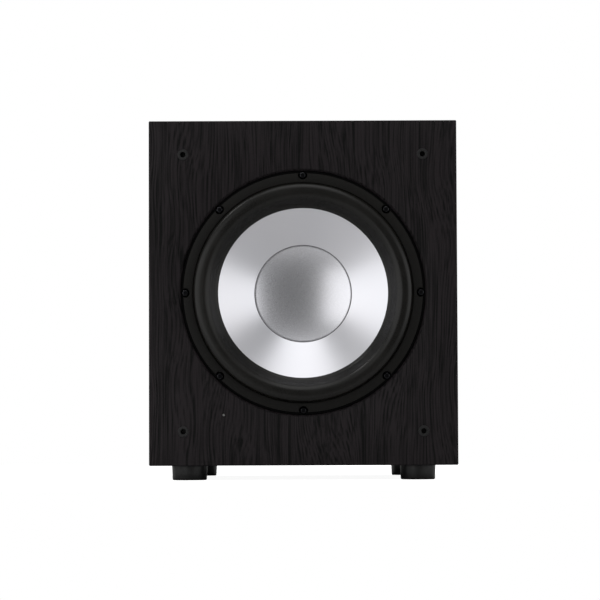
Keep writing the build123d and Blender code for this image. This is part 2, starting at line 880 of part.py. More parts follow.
with BuildPart() as amp_gasket:
    with BuildSketch(upright(plate_in)):
        with Locations((0, plate_z)):
            RectangleRounded(plate_width - 2, plate_height - 2, plate_corner - 1)
            RectangleRounded(
                amp_cutout_width + 2,
                amp_cutout_height + 2,
                cutout_corner,
                mode=Mode.SUBTRACT,
            )
        with Locations(*amp_screw_places):
            Circle(screw_r + 2 * play, mode=Mode.SUBTRACT)
    extrude(amount=gasket_thick)
amp_gasket.part.label = "amp_gasket"
export_step(amp_gasket.part, "parts/amp_gasket.step")

amp_head_r = 3.6
amp_head = 2.2
amp_head_round = 1.2
amp_cross_length = 3.8
amp_cross_width = 0.8
amp_cross_depth = 1.3
with BuildPart() as amp_plate_screws:
    with BuildSketch(upright(plate_out)):
        with Locations(*amp_screw_places):
            Circle(amp_head_r)
    extrude(amount=-amp_head)
    fillet(amp_plate_screws.edges().group_by(Axis.Y)[-1], amp_head_round)
    with BuildSketch(upright(plate_out)):
        with Locations(*amp_screw_places):
            Circle(screw_r)
    extrude(amount=plate_thick + gasket_thick + amp_screw_length)
    with BuildSketch(upright(plate_out + amp_head)):
        with Locations(*amp_screw_places):
            Rectangle(amp_cross_length, amp_cross_width)
            Rectangle(amp_cross_width, amp_cross_length)
    extrude(amount=amp_cross_depth, mode=Mode.SUBTRACT)
amp_plate_screws.part.label = "amp_plate_screws"
export_step(amp_plate_screws.part, "parts/amp_plate_screws.step")

# a tray behind the plate keeps the electronics out of the cabinet's air, with four posts
# for the main board and two holes for the driver's leads
tray_width = 168.0
tray_height = 192.0
tray_depth = 72.0
tray_wall = 1.5
tray_corner = 3.0
board_gap = 46.0            # main board's far face, behind the plate
post_x = 72.0
post_z = 80.0
post_r = 3.5
lead_r = 1.3
lead_x = 8.0
lead_z = plate_z - 24
with BuildPart() as amp_housing:
    with BuildSketch(upright(plate_in)):
        with Locations((0, plate_z)):
            RectangleRounded(tray_width, tray_height, tray_corner)
    extrude(amount=tray_depth)
    with BuildSketch(upright(plate_in)):
        with Locations((0, plate_z)):
            RectangleRounded(
                tray_width - 2 * tray_wall,
                tray_height - 2 * tray_wall,
                tray_corner - tray_wall,
            )
    extrude(amount=tray_depth - tray_wall, mode=Mode.SUBTRACT)
    with BuildSketch(upright(plate_in - board_gap)):
        with Locations((0, plate_z)):
            with GridLocations(2 * post_x, 2 * post_z, 2, 2):
                Circle(post_r)
    extrude(amount=tray_depth - tray_wall - board_gap)
    with BuildSketch(upright(plate_in - board_gap)):
        with Locations((-lead_x, lead_z), (lead_x, lead_z)):
            Circle(lead_r + play)
    extrude(amount=tray_depth, mode=Mode.SUBTRACT)
amp_housing.part.label = "amp_housing"
export_step(amp_housing.part, "parts/amp_housing.step")

board = 1.6
main_board_width = 156.0
main_board_height = 176.0
with BuildPart() as main_board:
    with BuildSketch(upright(plate_in - board_gap + board)):
        with Locations((0, plate_z)):
            Rectangle(main_board_width, main_board_height)
    extrude(amount=board)
main_board.part.label = "main_board"
export_step(main_board.part, "parts/main_board.step")

# the controls' board, an L that leaves the transformer's corner free
control_gap = 12.0
strip_board = (160, 30)
jack_board = (52, 60)
jack_board_x = 46.0
with BuildPart() as input_board:
    with BuildSketch(upright(plate_in - control_gap)):
        with Locations((0, control_z)):
            Rectangle(*strip_board)
        with Locations((jack_board_x, plate_z - 12)):
            Rectangle(*jack_board)
    extrude(amount=board)
input_board.part.label = "input_board"
export_step(input_board.part, "parts/input_board.step")

toroid_r = 38.0
toroid_hole_r = 13.0
toroid_height = 32.0
toroid_round = 7.0
with BuildPart() as transformer:
    with BuildSketch(upright(plate_in - 1)):
        with Locations((toroid_x, toroid_z)):
            Circle(toroid_r)
            Circle(toroid_hole_r, mode=Mode.SUBTRACT)
    extrude(amount=toroid_height)
    fillet(transformer.edges().filter_by(GeomType.CIRCLE), toroid_round)
transformer.part.label = "transformer"
export_step(transformer.part, "parts/transformer.step")

clamp_in = plate_in - 1 - toroid_height
clamp_r = 26.0
clamp_thick = 1.5
nut_r = 5.5
nut_height = 3.5
bolt_head = 4.0
with BuildPart() as transformer_clamp:
    with BuildSketch(upright(clamp_in)):
        with Locations((toroid_x, toroid_z)):
            Circle(clamp_r)
    extrude(amount=clamp_thick)
    with BuildSketch(upright(clamp_in - 5)):
        with Locations((toroid_x, toroid_z)):
            RegularPolygon(nut_r, 6)
    extrude(amount=-nut_height)
    with BuildSketch(upright(clamp_in)):
        with Locations((toroid_x, toroid_z)):
            Circle(toroid_bolt_r)
    extrude(amount=-(plate_out + 5 - clamp_in))
    with BuildSketch(upright(plate_out)):
        with Locations((toroid_x, toroid_z)):
            RegularPolygon(nut_r, 6)
    extrude(amount=-bolt_head)
transformer_clamp.part.label = "transformer_clamp"
export_step(transformer_clamp.part, "parts/transformer_clamp.step")

can_x = 52.0
can_rise = 66.0
can_r = 12.5
can_height = 33.0
can_round = 1.5
with BuildPart() as filter_capacitors:
    with BuildSketch(upright(plate_in - board_gap + board)):
        with Locations((-can_x, plate_z + can_rise), (can_x, plate_z + can_rise)):
            Circle(can_r)
    extrude(amount=-can_height)
    fillet(filter_capacitors.edges().group_by(Axis.Y)[-1], can_round)
filter_capacitors.part.label = "filter_capacitors"
export_step(filter_capacitors.part, "parts/filter_capacitors.step")

transistor_count = 4
transistor_pitch = 26.0
transistor_size = (16, 20, 5)
with BuildPart() as output_transistors:
    with BuildSketch(upright(plate_in)):
        with Locations((0, sink_z - 2)):
            with GridLocations(transistor_pitch, 0, transistor_count, 1):
                Rectangle(*transistor_size[:2])
    extrude(amount=transistor_size[2])
output_transistors.part.label = "output_transistors"
export_step(output_transistors.part, "parts/output_transistors.step")

# ---------------------------------------------------------------- controls
pot_front = plate_in - 2
bush_end = plate_out + 3
shaft_start = plate_in - 9
shaft_end = plate_out + 11
pot_size = 16.0
pot_corner = 1.0
shaft_end_play = 0.3
with BuildPart() as potentiometers:
    with BuildSketch(upright(pot_front)):
        with Locations((volume_x, control_z), (crossover_x, control_z)):
            RectangleRounded(pot_size, pot_size, pot_corner)
    extrude(amount=control_gap - 2)
    with BuildSketch(upright(pot_front)):
        with Locations((volume_x, control_z), (crossover_x, control_z)):
            Circle(bush_r)
    extrude(amount=-(bush_end - pot_front))
    with BuildSketch(upright(shaft_start)):
        with Locations((volume_x, control_z), (crossover_x, control_z)):
            Circle(shaft_r + shaft_play)
    extrude(amount=-(bush_end - shaft_start), mode=Mode.SUBTRACT)
potentiometers.part.label = "potentiometers"
export_step(potentiometers.part, "parts/potentiometers.step")

knob_r = 9.0
knob_tip_r = 8.2
knob_start = plate_out + 0.5
knob_end = plate_out + fin_height
flute_count = 20
flute_r = 0.75
flute_foot = 3.0            # plain rim below the flutes
knob_chamfer = 0.8
knob_play = 0.7
groove_length = 6.0
groove_width = 1.2
groove_depth = 0.6
groove_middle = 5.2
for control, x in (("volume", volume_x), ("crossover", crossover_x)):
    with BuildPart() as knob:
        with BuildSketch(Plane(origin=(x, 0, control_z), x_dir=(0, 1, 0), z_dir=(1, 0, 0))):
            Polygon(
                (knob_start, bush_r + knob_play),
                (knob_start, knob_r),
                (knob_start + 2, knob_r),
                (knob_end - knob_chamfer, knob_tip_r),
                (knob_end, knob_tip_r - knob_chamfer),
                (knob_end, 0),
                (shaft_end, 0),
                (shaft_end, shaft_r),
                (bush_end + 1, shaft_r),
                (bush_end + 1, bush_r + knob_play),
                align=None,
            )
        revolve(axis=Axis((x, 0, control_z), (0, 1, 0)))
        with BuildSketch(upright(knob_start + flute_foot)):
            with Locations((x, control_z)):
                with PolarLocations(knob_r + 0.1, flute_count, start_angle=9):
                    Circle(flute_r)
        extrude(amount=-fin_height, mode=Mode.SUBTRACT)
        # a groove from the middle to the rim shows where the knob points
        with BuildSketch(upright(knob_end)):
            with Locations((x, control_z + groove_middle)):
                Rectangle(groove_width, groove_length)
        extrude(amount=groove_depth, mode=Mode.SUBTRACT)
        with BuildSketch(upright(shaft_start + shaft_end_play)):
            with Locations((x, control_z)):
                Circle(shaft_r)
        extrude(amount=-(shaft_end - shaft_start - shaft_end_play))
    knob.part.label = f"{control}_knob"
    export_step(knob.part, f"parts/{control}_knob.step")

# a slide switch is a box behind the plate with a channel that its slider runs in
switch_depth = 8.0
channel_depth = 5.0
slider_width = 4.4
slider_height = 3.2
slider_travel = 4.0
switch_width = 16.0
switch_height = 8.0
with BuildPart() as slide_switch_bodies:
    with BuildSketch(upright(plate_in)):
        with Locations((phase_x, control_z), (mode_x, control_z)):
            Rectangle(switch_width, switch_height)
    extrude(amount=switch_depth)
    with BuildSketch(upright(plate_in)):
        with Locations((phase_x, control_z), (mode_x, control_z)):
            Rectangle(slot_width, slot_height)
    extrude(amount=channel_depth, mode=Mode.SUBTRACT)
slide_switch_bodies.part.label = "slide_switch_bodies"
export_step(slide_switch_bodies.part, "parts/slide_switch_bodies.step")

slider_out = plate_out + 2.2
slider_in = plate_in - channel_depth + 0.4
grip_pitch = 1.5
grip = 0.6
for switch, x in (("phase", phase_x), ("mode", mode_x)):
    with BuildPart() as slider:
        with BuildSketch(upright(slider_in)):
            with Locations((x - slider_travel / 2, control_z)):
                Rectangle(slider_width, slider_height)
        extrude(amount=-(slider_out - slider_in))
        # two grip grooves across the tip
        with BuildSketch(upright(slider_out)):
            with Locations((x - slider_travel / 2, control_z)):
                with GridLocations(grip_pitch, 0, 2, 1):
                    Rectangle(grip, slider_height)
        extrude(amount=grip, mode=Mode.SUBTRACT)
    slider.part.label = f"{switch}_switch_slider"
    export_step(slider.part, f"parts/{switch}_switch_slider.step")

jack_body = 11.0
jack_reach = 8.5            # core in front of the plate
jack_bore_r = 1.7
jack_bore_depth = 9.0
jack_nut_r = 5.8
jack_nut = 1.5
jack_shell_r = 4.15
jack_shell = 8.0
shell_gap = 0.05
with BuildPart() as rca_jacks:
    with BuildSketch(upright(plate_in)):
        with Locations(*jack_places):
            Rectangle(jack_body, jack_body)
    extrude(amount=control_gap)
    with BuildSketch(upright(plate_in)):
        with Locations(*jack_places):
            Circle(jack_core_r)
    extrude(amount=-(plate_thick + jack_reach))
    with BuildSketch(upright(plate_out + jack_reach)):
        with Locations(*jack_places):
            Circle(jack_bore_r)
    extrude(amount=jack_bore_depth, mode=Mode.SUBTRACT)
    with BuildSketch(upright(plate_out)):
        with Locations(*jack_places):
            Circle(jack_nut_r)
            Circle(jack_core_r + shell_gap, mode=Mode.SUBTRACT)
    extrude(amount=-jack_nut)
    with BuildSketch(upright(plate_out + jack_nut)):
        with Locations(*jack_places):
            Circle(jack_shell_r)
            Circle(jack_core_r + shell_gap, mode=Mode.SUBTRACT)
    extrude(amount=-jack_shell)
rca_jacks.part.label = "rca_jacks"
export_step(rca_jacks.part, "parts/rca_jacks.step")

# ---------------------------------------------------------------- mains rocker
rocker_flange = 1.5
rocker_face = plate_out + rocker_flange
rocker_opening_width = 11.4
rocker_opening_height = 17.4
rocker_pivot_y = plate_out - 0.5
rocker_r = 8.4
rocker_width = 10.8
rocker_pin_r = 1.0
rocker_tilt = 10.0
frame_lip = 3.0
frame_run = 18.0
frame_opening_run = 14.0
rocker_pin_play = 0.06
rocker_valley = 2.2         # the V's middle and ends, in front of the pivot
rocker_crest = 3.7
rocker_back = 4.0
rocker_clear = 9.0          # past the round ends, for the cuts
with BuildPart() as mains_rocker_frame:
    with BuildSketch(upright(rocker_face)):
        with Locations((rocker_x, socket_row_z)):
            RectangleRounded(rocker_frame_width + frame_lip, rocker_frame_height + frame_lip, 1)
    extrude(amount=rocker_flange)
    with BuildSketch(upright(plate_out)):
        with Locations((rocker_x, socket_row_z)):
            Rectangle(rocker_frame_width, rocker_frame_height)
    extrude(amount=frame_run)
    with BuildSketch(upright(rocker_face)):
        with Locations((rocker_x, socket_row_z)):
            Rectangle(rocker_opening_width, rocker_opening_height)
    extrude(amount=frame_opening_run, mode=Mode.SUBTRACT)
    with BuildSketch(Plane.YZ.offset(rocker_x)):
        with Locations((rocker_pivot_y, socket_row_z)):
            Circle(rocker_pin_r + rocker_pin_play)
    extrude(amount=rocker_opening_width / 2 + 0.75, both=True, mode=Mode.SUBTRACT)
mains_rocker_frame.part.label = "mains_rocker_frame"
export_step(mains_rocker_frame.part, "parts/mains_rocker_frame.step")

# its two faces meet in a shallow V, and its ends are round about the pivot
with BuildPart() as mains_rocker:
    with BuildSketch(Plane.YZ.offset(rocker_x - rocker_width / 2)):
        with Locations((rocker_pivot_y, socket_row_z)):
            Circle(rocker_r)
            Polygon(
                (rocker_valley, 0),
                (rocker_crest, rocker_r),
                (rocker_clear, rocker_r),
                (rocker_clear, -rocker_r),
                (rocker_crest, -rocker_r),
                align=None,
                mode=Mode.SUBTRACT,
            )
            Polygon(
                (-rocker_back, -rocker_clear),
                (-rocker_back, rocker_clear),
                (-rocker_clear, rocker_clear),
                (-rocker_clear, -rocker_clear),
                align=None,
                mode=Mode.SUBTRACT,
            )
    extrude(amount=rocker_width)
    with BuildSketch(Plane.YZ.offset(rocker_x)):
        with Locations((rocker_pivot_y, socket_row_z)):
            Circle(rocker_pin_r)
    extrude(amount=rocker_opening_width / 2 + 0.6, both=True)
    rocker_pivot = Axis((rocker_x, rocker_pivot_y, socket_row_z), (1, 0, 0))
mains_rocker.part = mains_rocker.part.rotate(rocker_pivot, -rocker_tilt)
mains_rocker.part.label = "mains_rocker"
export_step(mains_rocker.part, "parts/mains_rocker.step")

# ---------------------------------------------------------------- mains inlet with fuse drawer
inlet_flange = 2.0
inlet_face = plate_out + inlet_flange
inlet_run = 34.0            # body behind the plate's outer face
well_width = 24.0
well_height = 16.4
well_depth = 16.0
well_z = socket_row_z + 6
drawer_width = 10.0
drawer_height = 8.0
drawer_play = 0.3
well_corner = 4.5
inlet_lip = 4.0
inlet_corner = 2.0
pin_spread = 7.0
pin_stagger = 2.0
drawer_z = socket_row_z - 10.5
drawer_run = 27.0
pin_width = 2.0
pin_height = 4.0
pin_places = [
    (inlet_x - pin_spread, well_z - pin_stagger),
    (inlet_x, well_z + pin_stagger),
    (inlet_x + pin_spread, well_z - pin_stagger),
]
with BuildPart() as inlet_housing:
    with BuildSketch(upright(inlet_face)):
        with Locations((inlet_x, socket_row_z)):
            RectangleRounded(inlet_width + inlet_lip, inlet_height + inlet_lip, inlet_corner)
    extrude(amount=inlet_flange)
    with BuildSketch(upright(plate_out)):
        with Locations((inlet_x, socket_row_z)):
            Rectangle(inlet_width, inlet_height)
    extrude(amount=inlet_run)
    with BuildSketch(upright(inlet_face)):
        with Locations((inlet_x, well_z)):
            # the two upper corners are cut off, so that the plug goes in one way
            Polygon(
                (-well_width / 2, -well_height / 2),
                (well_width / 2, -well_height / 2),
                (well_width / 2, well_height / 2 - well_corner),
                (well_width / 2 - well_corner, well_height / 2),
                (-well_width / 2 + well_corner, well_height / 2),
                (-well_width / 2, well_height / 2 - well_corner),
                align=None,
            )
    extrude(amount=well_depth, mode=Mode.SUBTRACT)
    with BuildSketch(upright(inlet_face)):
        with Locations((inlet_x, drawer_z)):
            Rectangle(drawer_width + 2 * drawer_play, drawer_height + 2 * drawer_play)
    extrude(amount=drawer_run + 2, mode=Mode.SUBTRACT)
    with BuildSketch(upright(inlet_face)):
        with Locations(*pin_places):
            Rectangle(pin_width, pin_height)
    extrude(amount=inlet_run + inlet_flange, mode=Mode.SUBTRACT)
inlet_housing.part.label = "inlet_housing"
export_step(inlet_housing.part, "parts/inlet_housing.step")

pin_tip = inlet_face - 3.5
pin_chamfer = 0.5
with BuildPart() as inlet_pins:
    with BuildSketch(upright(pin_tip)):
        with Locations(*pin_places):
            Rectangle(pin_width, pin_height)
    extrude(amount=inlet_run + 4)
    chamfer(inlet_pins.edges().group_by(Axis.Y)[-1], pin_chamfer)
inlet_pins.part.label = "inlet_pins"
export_step(inlet_pins.part, "parts/inlet_pins.step")

fuse_r = 2.6
fuse_length = 20.0
fuse_start = inlet_face - drawer_run + 2.5
fuse_play = 0.15
fuse_end_play = 0.2
drawer_lip = 1.6
finger_notch = (5, 2)
with BuildPart() as fuse_drawer:
    with BuildSketch(upright(inlet_face)):
        with Locations((inlet_x, drawer_z)):
            Rectangle(drawer_width, drawer_height)
    extrude(amount=drawer_run)
    with BuildSketch(upright(inlet_face)):
        with Locations((inlet_x, drawer_z)):
            Rectangle(drawer_width + 2, drawer_height + drawer_lip)
    extrude(amount=-drawer_lip)
    # trough for the fuse, open upwards
    with BuildSketch(upright(fuse_start + fuse_length + fuse_end_play)):
        with Locations((inlet_x, drawer_z)):
            Circle(fuse_r + fuse_play)
        with Locations((inlet_x, drawer_z + drawer_height / 2)):
            Rectangle(2 * (fuse_r + fuse_play), drawer_height, mode=Mode.ADD)
    extrude(amount=fuse_length + 2 * fuse_end_play, mode=Mode.SUBTRACT)
    # a finger notch under the front edge
    with BuildSketch(upright(inlet_face + drawer_lip)):
        with Locations((inlet_x, drawer_z - drawer_height / 2)):
            Rectangle(*finger_notch)
    extrude(amount=1, mode=Mode.SUBTRACT)
fuse_drawer.part.label = "fuse_drawer"
export_step(fuse_drawer.part, "parts/fuse_drawer.step")

with BuildPart() as fuse:
    with BuildSketch(upright(fuse_start + fuse_length)):
        with Locations((inlet_x, drawer_z)):
            Circle(fuse_r)
    extrude(amount=fuse_length)
fuse.part.label = "fuse"
export_step(fuse.part, "parts/fuse.step")

# ================================================================ leads inside the cabinet
# (x, depth, z) of the red lead, from the main board to its terminal; the black one mirrors it
lead_route = [
    (lead_x, rear_y + gasket_thick - board_gap - front_y, lead_z),
    (lead_x, 292.0, lead_z),
    (12.0, 235.0, lead_z - 12),
    (14.0, 180.0, lead_z - 17),
    (11.0, 125.0, lead_z - 10),
    (blade_x, blade_rear + joint_gap, driver_z - blade_drop),
]


bend_share = 0.45


def widest_radii(points):
    """For each inner corner, bend_share of its shorter run over the tangent of half its turn."""
    radii = []
    for before, corner, after in zip(points, points[1:], points[2:]):
        arriving = Vector(*corner) - Vector(*before)
        leaving = Vector(*after) - Vector(*corner)
        turn = math.radians(arriving.get_angle(leaving))
        radii.append(bend_share * min(arriving.length, leaving.length) / math.tan(turn / 2))
    return radii


for colour, sign in (("red", 1), ("black", -1)):
    with BuildPart() as driver_lead:
        route = [(sign * x, front_y + depth, z) for x, depth, z in lead_route]
        with BuildLine():
            path = FilletPolyline(*route, radius=widest_radii(route))
        with BuildSketch(Plane(origin=route[0], z_dir=path % 0)):
            Circle(lead_r)
        sweep(path=path)
    driver_lead.part.label = f"driver_lead_{colour}"
    export_step(driver_lead.part, f"parts/driver_lead_{colour}.step")
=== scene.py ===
"""Looks of a powered subwoofer: a black ash cabinet, a silver 10 inch driver, a rear port and
a plate amplifier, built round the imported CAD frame. Metres, +Z up, the front faces -Y."""

import math

import bmesh
import bpy
import numpy as np
from mathutils import Matrix, Vector


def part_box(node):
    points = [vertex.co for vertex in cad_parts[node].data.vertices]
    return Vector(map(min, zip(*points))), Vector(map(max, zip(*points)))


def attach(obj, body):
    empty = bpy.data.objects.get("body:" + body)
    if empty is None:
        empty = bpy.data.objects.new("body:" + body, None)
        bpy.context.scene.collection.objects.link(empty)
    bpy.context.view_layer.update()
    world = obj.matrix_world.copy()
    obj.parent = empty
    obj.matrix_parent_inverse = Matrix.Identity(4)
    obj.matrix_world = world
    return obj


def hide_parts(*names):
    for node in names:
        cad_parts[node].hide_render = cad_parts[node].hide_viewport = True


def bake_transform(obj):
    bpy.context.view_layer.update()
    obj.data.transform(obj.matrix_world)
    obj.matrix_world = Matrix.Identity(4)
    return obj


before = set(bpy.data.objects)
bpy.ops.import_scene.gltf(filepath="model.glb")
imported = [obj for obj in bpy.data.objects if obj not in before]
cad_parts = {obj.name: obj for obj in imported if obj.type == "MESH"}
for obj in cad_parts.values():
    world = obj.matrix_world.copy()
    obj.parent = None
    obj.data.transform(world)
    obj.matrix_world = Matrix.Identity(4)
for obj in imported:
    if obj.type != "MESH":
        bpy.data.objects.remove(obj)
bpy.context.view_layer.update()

MM = 0.001
FULL_TURN = 2 * math.pi

# ---------------------------------------------------------------- places taken from the frame


def middle(name):
    """Centre of a CAD node's box."""
    low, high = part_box(name)
    return (Vector(low) + Vector(high)) / 2


baffle_low, baffle_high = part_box("front_baffle")
front_y = baffle_low[1]
baffle_rear = baffle_high[1]
driver_z = middle("trim_ring").z
rear_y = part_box("rear_panel")[1][1]
plate_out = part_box("amp_plate")[1][1]
plate_z = middle("amp_plate").z
port_z = middle("port_tube").z


# ---------------------------------------------------------------- colours and nodes


def linear(code):
    """Linear RGBA of an sRGB hex colour."""
    parts = [int(code[i : i + 2], 16) / 255 for i in (1, 3, 5)]
    bent = [c / 12.92 if c <= 0.04045 else ((c + 0.055) / 1.055) ** 2.4 for c in parts]
    return (*bent, 1.0)


def add(tree, kind, inputs=None, out=0, **settings):
    """Adds a node with its settings and gives back one of its outputs. Inputs maps a socket
    to another node's output, to a number or vector, or to a hex colour."""
    made = tree.nodes.new("ShaderNode" + kind)
    for key, value in settings.items():
        setattr(made, key, value)
    for key, value in (inputs or {}).items():
        if isinstance(value, bpy.types.NodeSocket):
            tree.links.new(value, made.inputs[key])
        else:
            made.inputs[key].default_value = linear(value) if isinstance(value, str) else value
    return made.outputs[out]


def new_material(name, colour, roughness, metallic=0.0, **sockets):
    """A named material with its uniform values on the shader's own sockets, and the piece's
    own coordinates."""
    material = bpy.data.materials.new(name)
    material.use_nodes = True
    tree = material.node_tree
    shader = tree.nodes["Principled BSDF"]
    shader.inputs["Base Color"].default_value = linear(colour)
    shader.inputs["Roughness"].default_value = roughness
    shader.inputs["Metallic"].default_value = metallic
    for key, value in sockets.items():
        shader.inputs[key.replace("_", " ")].default_value = value
    return material, tree, shader.inputs, add(tree, "TexCoord", out="Object")


def grit_of(tree, place, cells, detail, roughness=0.5):
    """A pattern of cloudy cells of the given sizes in millimetres along X, Y and Z."""
    per_metre = tuple(1 / (size * MM) for size in cells)
    scaled = add(tree, "Mapping", {"Vector": place, "Scale": per_metre})
    inputs = {"Vector": scaled, "Scale": 1.0, "Detail": detail, "Roughness": roughness}
    return add(tree, "TexNoise", inputs)


def dress(tree, sockets, share, dark, light, rough, height, depth, strength=1.0):
    """Wires patterns to the shader: share goes from the dark colour to the light one, rough is
    the roughness where it varies, and height is relief of the given depth in millimetres."""
    colour = add(tree, "Mix", {0: share, 6: dark, 7: light}, 2, data_type="RGBA")
    tree.links.new(colour, sockets["Base Color"])
    if rough is not None:
        tree.links.new(rough, sockets["Roughness"])
    relief = add(tree, "Bump", {"Height": height, "Distance": depth * MM, "Strength": strength})
    tree.links.new(relief, sockets["Normal"])


CLOUD = 40.0


def grained(name, dark, light, rough, grain, relief, metallic=0.0, spread=0.08, **sockets):
    """A finish with an even grain: fine grit plus broad clouds set the colour and, within the
    spread, the roughness; the grit alone gives the relief. Grain and relief are millimetres."""
    material, tree, shader, place = new_material(name, light, rough, metallic, **sockets)
    grit = grit_of(tree, place, (grain,) * 3, 3.0)
    clouds = grit_of(tree, place, (CLOUD,) * 3, 2.0)
    mixed = add(tree, "Math", {0: grit, 1: clouds}, operation="ADD")
    share = add(tree, "MapRange", {0: mixed, 1: 0.7, 2: 1.3})
    varied = add(tree, "MapRange", {0: mixed, 1: 0.7, 2: 1.3, 3: rough - spread, 4: rough + spread})
    dress(tree, shader, share, dark, light, varied, grit, relief)
    return material


# ---------------------------------------------------------------- finishes

RING_PITCH = 3.4
GRAIN_WANDER = 0.028
FOLD_FACING = 0.7
WANDER_CELL = (65, 150)
FINE_CELL = (1.4, 80)
STREAK_CELL = (3.0, 160)
BROAD_CELL = (12, 150)
PORE_CELL = (0.45, 9)


def black_ash_vinyl(name, across, along):
    """Black ash vinyl wrap: printed, embossed film over board. The eye sees short pale and
    dark streaks 1 to 3 mm apart that bend round knots, growth rings in some places, and open
    pores that catch the light."""
    material, tree, shader, place = new_material(name, "#1a181a", 0.5, IOR=1.5, Specular_IOR_Level=0.14)

    def pattern(cell, detail, roughness=0.5):
        sizes = tuple(cell[0] if axis in across else cell[1] for axis in range(3))
        return grit_of(tree, place, sizes, detail, roughness)

    # the film is folded over the board's ends, so there the grain runs on round the corner
    order = list(range(3))
    order[along], order[across[1]] = across[1], along
    folded = {axis: add(tree, "SeparateXYZ", {0: place}, order[axis]) for axis in range(3)}
    folded = add(tree, "CombineXYZ", folded)
    facing = add(tree, "SeparateXYZ", {0: add(tree, "NewGeometry", out="Normal")}, along)
    facing = add(tree, "Math", {0: facing}, operation="ABSOLUTE")
    on_end = add(tree, "Math", {0: facing, 1: FOLD_FACING}, operation="GREATER_THAN")
    change = add(tree, "VectorMath", {0: folded, 1: place}, operation="SUBTRACT")
    place = add(tree, "VectorMath", {0: change, 1: on_end, 2: place}, operation="MULTIPLY_ADD")
    # all of the grain is drawn on coordinates that wander sideways by a few millimetres
    sideways = tuple(GRAIN_WANDER if axis in across else 0.0 for axis in range(3))
    wander = {0: pattern(WANDER_CELL, 1.0), 1: sideways, 2: place}
    place = add(tree, "VectorMath", wander, operation="MULTIPLY_ADD")
    fine, streaks = pattern(FINE_CELL, 2.0), pattern(STREAK_CELL, 2.0, 0.6)
    broad, pores = pattern(BROAD_CELL, 2.0), pattern(PORE_CELL, 2.0)
    weights = tuple(1.0 if axis in across else 0.0 for axis in range(3))
    side = add(tree, "VectorMath", {0: place, 1: weights}, 1, operation="DOT_PRODUCT")
    turns = add(tree, "Math", {0: side, 1: FULL_TURN / (RING_PITCH * MM)}, operation="MULTIPLY")
    rings = add(tree, "Math", {0: turns}, operation="SINE")
    patches = add(tree, "MapRange", {0: broad, 1: 0.4, 2: 0.6, 3: 0.02, 4: 0.13})
    tone = fine
    for value, weight in ((rings, patches), (streaks, 0.9), (broad, 0.4)):
        tone = add(tree, "Math", {0: value, 1: weight, 2: tone}, operation="MULTIPLY_ADD")
    share = add(tree, "MapRange", {0: tone, 1: 0.9, 2: 1.3})
    rough = add(tree, "MapRange", {0: share, 3: 0.62, 4: 0.44})
    pitted = add(tree, "MapRange", {0: pores, 1: 0.32, 2: 0.5})
    relief = add(tree, "Math", {0: pitted, 1: 0.6, 2: share}, operation="MULTIPLY_ADD")
    dress(tree, shader, share, "#010101", "#211d1f", rough, relief, 0.06, 0.6)
    return material


def satin_silver(name, roughness):
    """Silver-lacquered, vacuum-metallised cone: broad soft reflections and a very fine mica
    grain, a little bluer in the shade."""
    material, tree, shader, place = new_material(name, "#d9d9dd", roughness, 1.0)
    mica = grit_of(tree, place, (0.35,) * 3, 2.0)
    clouds = grit_of(tree, place, (70,) * 3, 1.0)
    varied = {0: mica, 1: 0.3, 2: 0.7, 3: roughness - 0.02, 4: roughness + 0.02}
    dress(tree, shader, clouds, "#d6d7dc", "#dddce0", add(tree, "MapRange", varied), mica, 0.001, 0.3)
    return material


def anodised_black():
    """Black anodised extrusion: dull metal with faint die lines along the fins."""
    material, tree, shader, place = new_material("black_anodised_extrusion", "#202024", 0.42, 0.85)
    lines = grit_of(tree, place, (0.25, 0.25, 60), 2.0)
    rough = add(tree, "MapRange", {0: lines, 1: 0.3, 2: 0.7, 3: 0.36, 4: 0.5})
    dress(tree, shader, lines, "#17171a", "#2a2a2f", rough, lines, 0.006)
    return material


def copper_winding(pitch=0.4):
    """Enamelled copper wire, laid in turns 0.4 mm apart along the coil: a sine wave in Y."""
    material, tree, shader, place = new_material("enamelled_copper_wire", "#a8552b", 0.3, 1.0)
    along = add(tree, "SeparateXYZ", {0: place}, 1)
    turns = add(tree, "Math", {0: along, 1: FULL_TURN / (pitch * MM)}, operation="MULTIPLY")
    wave = add(tree, "Math", {0: turns}, operation="SINE")
    share = add(tree, "MapRange", {0: wave, 1: -1.0})
    dress(tree, shader, share, "#7c3a1c", "#c26b3c", None, share, 0.1)
    return material


def dipped_cotton(pitch=0.8):
    """Resin-dipped woven cotton of the spider: tan, threads 0.8 mm apart."""
    material, tree, shader, place = new_material("resin_dipped_cotton", "#a9803f", 0.75)
    weave = add(tree, "TexVoronoi", {"Vector": place, "Scale": 1 / (pitch * MM)})
    share = add(tree, "MapRange", {0: weave, 2: 0.7})
    dress(tree, shader, share, "#c79c57", "#80592a", None, weave, 0.15)
    return material


vertical_vinyl = black_ash_vinyl("black_ash_vinyl_upright", (0, 1), 2)
crosswise_vinyl = black_ash_vinyl("black_ash_vinyl_crosswise", (1, 2), 0)
cone_silver = satin_silver("satin_silver_lacquer", 0.30)
cap_silver = satin_silver("satin_silver_cap", 0.27)
fin_black = anodised_black()
copper = copper_winding()
cotton = dipped_cotton()

# moulded butyl rubber: near black, satin, with a faint bloom and mould grain
rubber = grained(
    "butyl_rubber_satin", "#0c0b09", "#12110e",
    rough=0.32, grain=0.7, relief=0.002, Specular_IOR_Level=0.29,
)
# matt moulded rubber gasket, a little greyer than the surround
gasket_rubber = grained(
    "moulded_rubber_matt", "#0a0908", "#100f0c",
    rough=0.6, grain=0.5, relief=0.015, Specular_IOR_Level=0.17,
)
# black ABS from a spark-eroded mould: an even matt grit
textured_black = grained(
    "black_abs_spark_eroded", "#0e0e0e", "#161616",
    rough=0.5, grain=0.45, relief=0.015, Specular_IOR_Level=0.35,
)
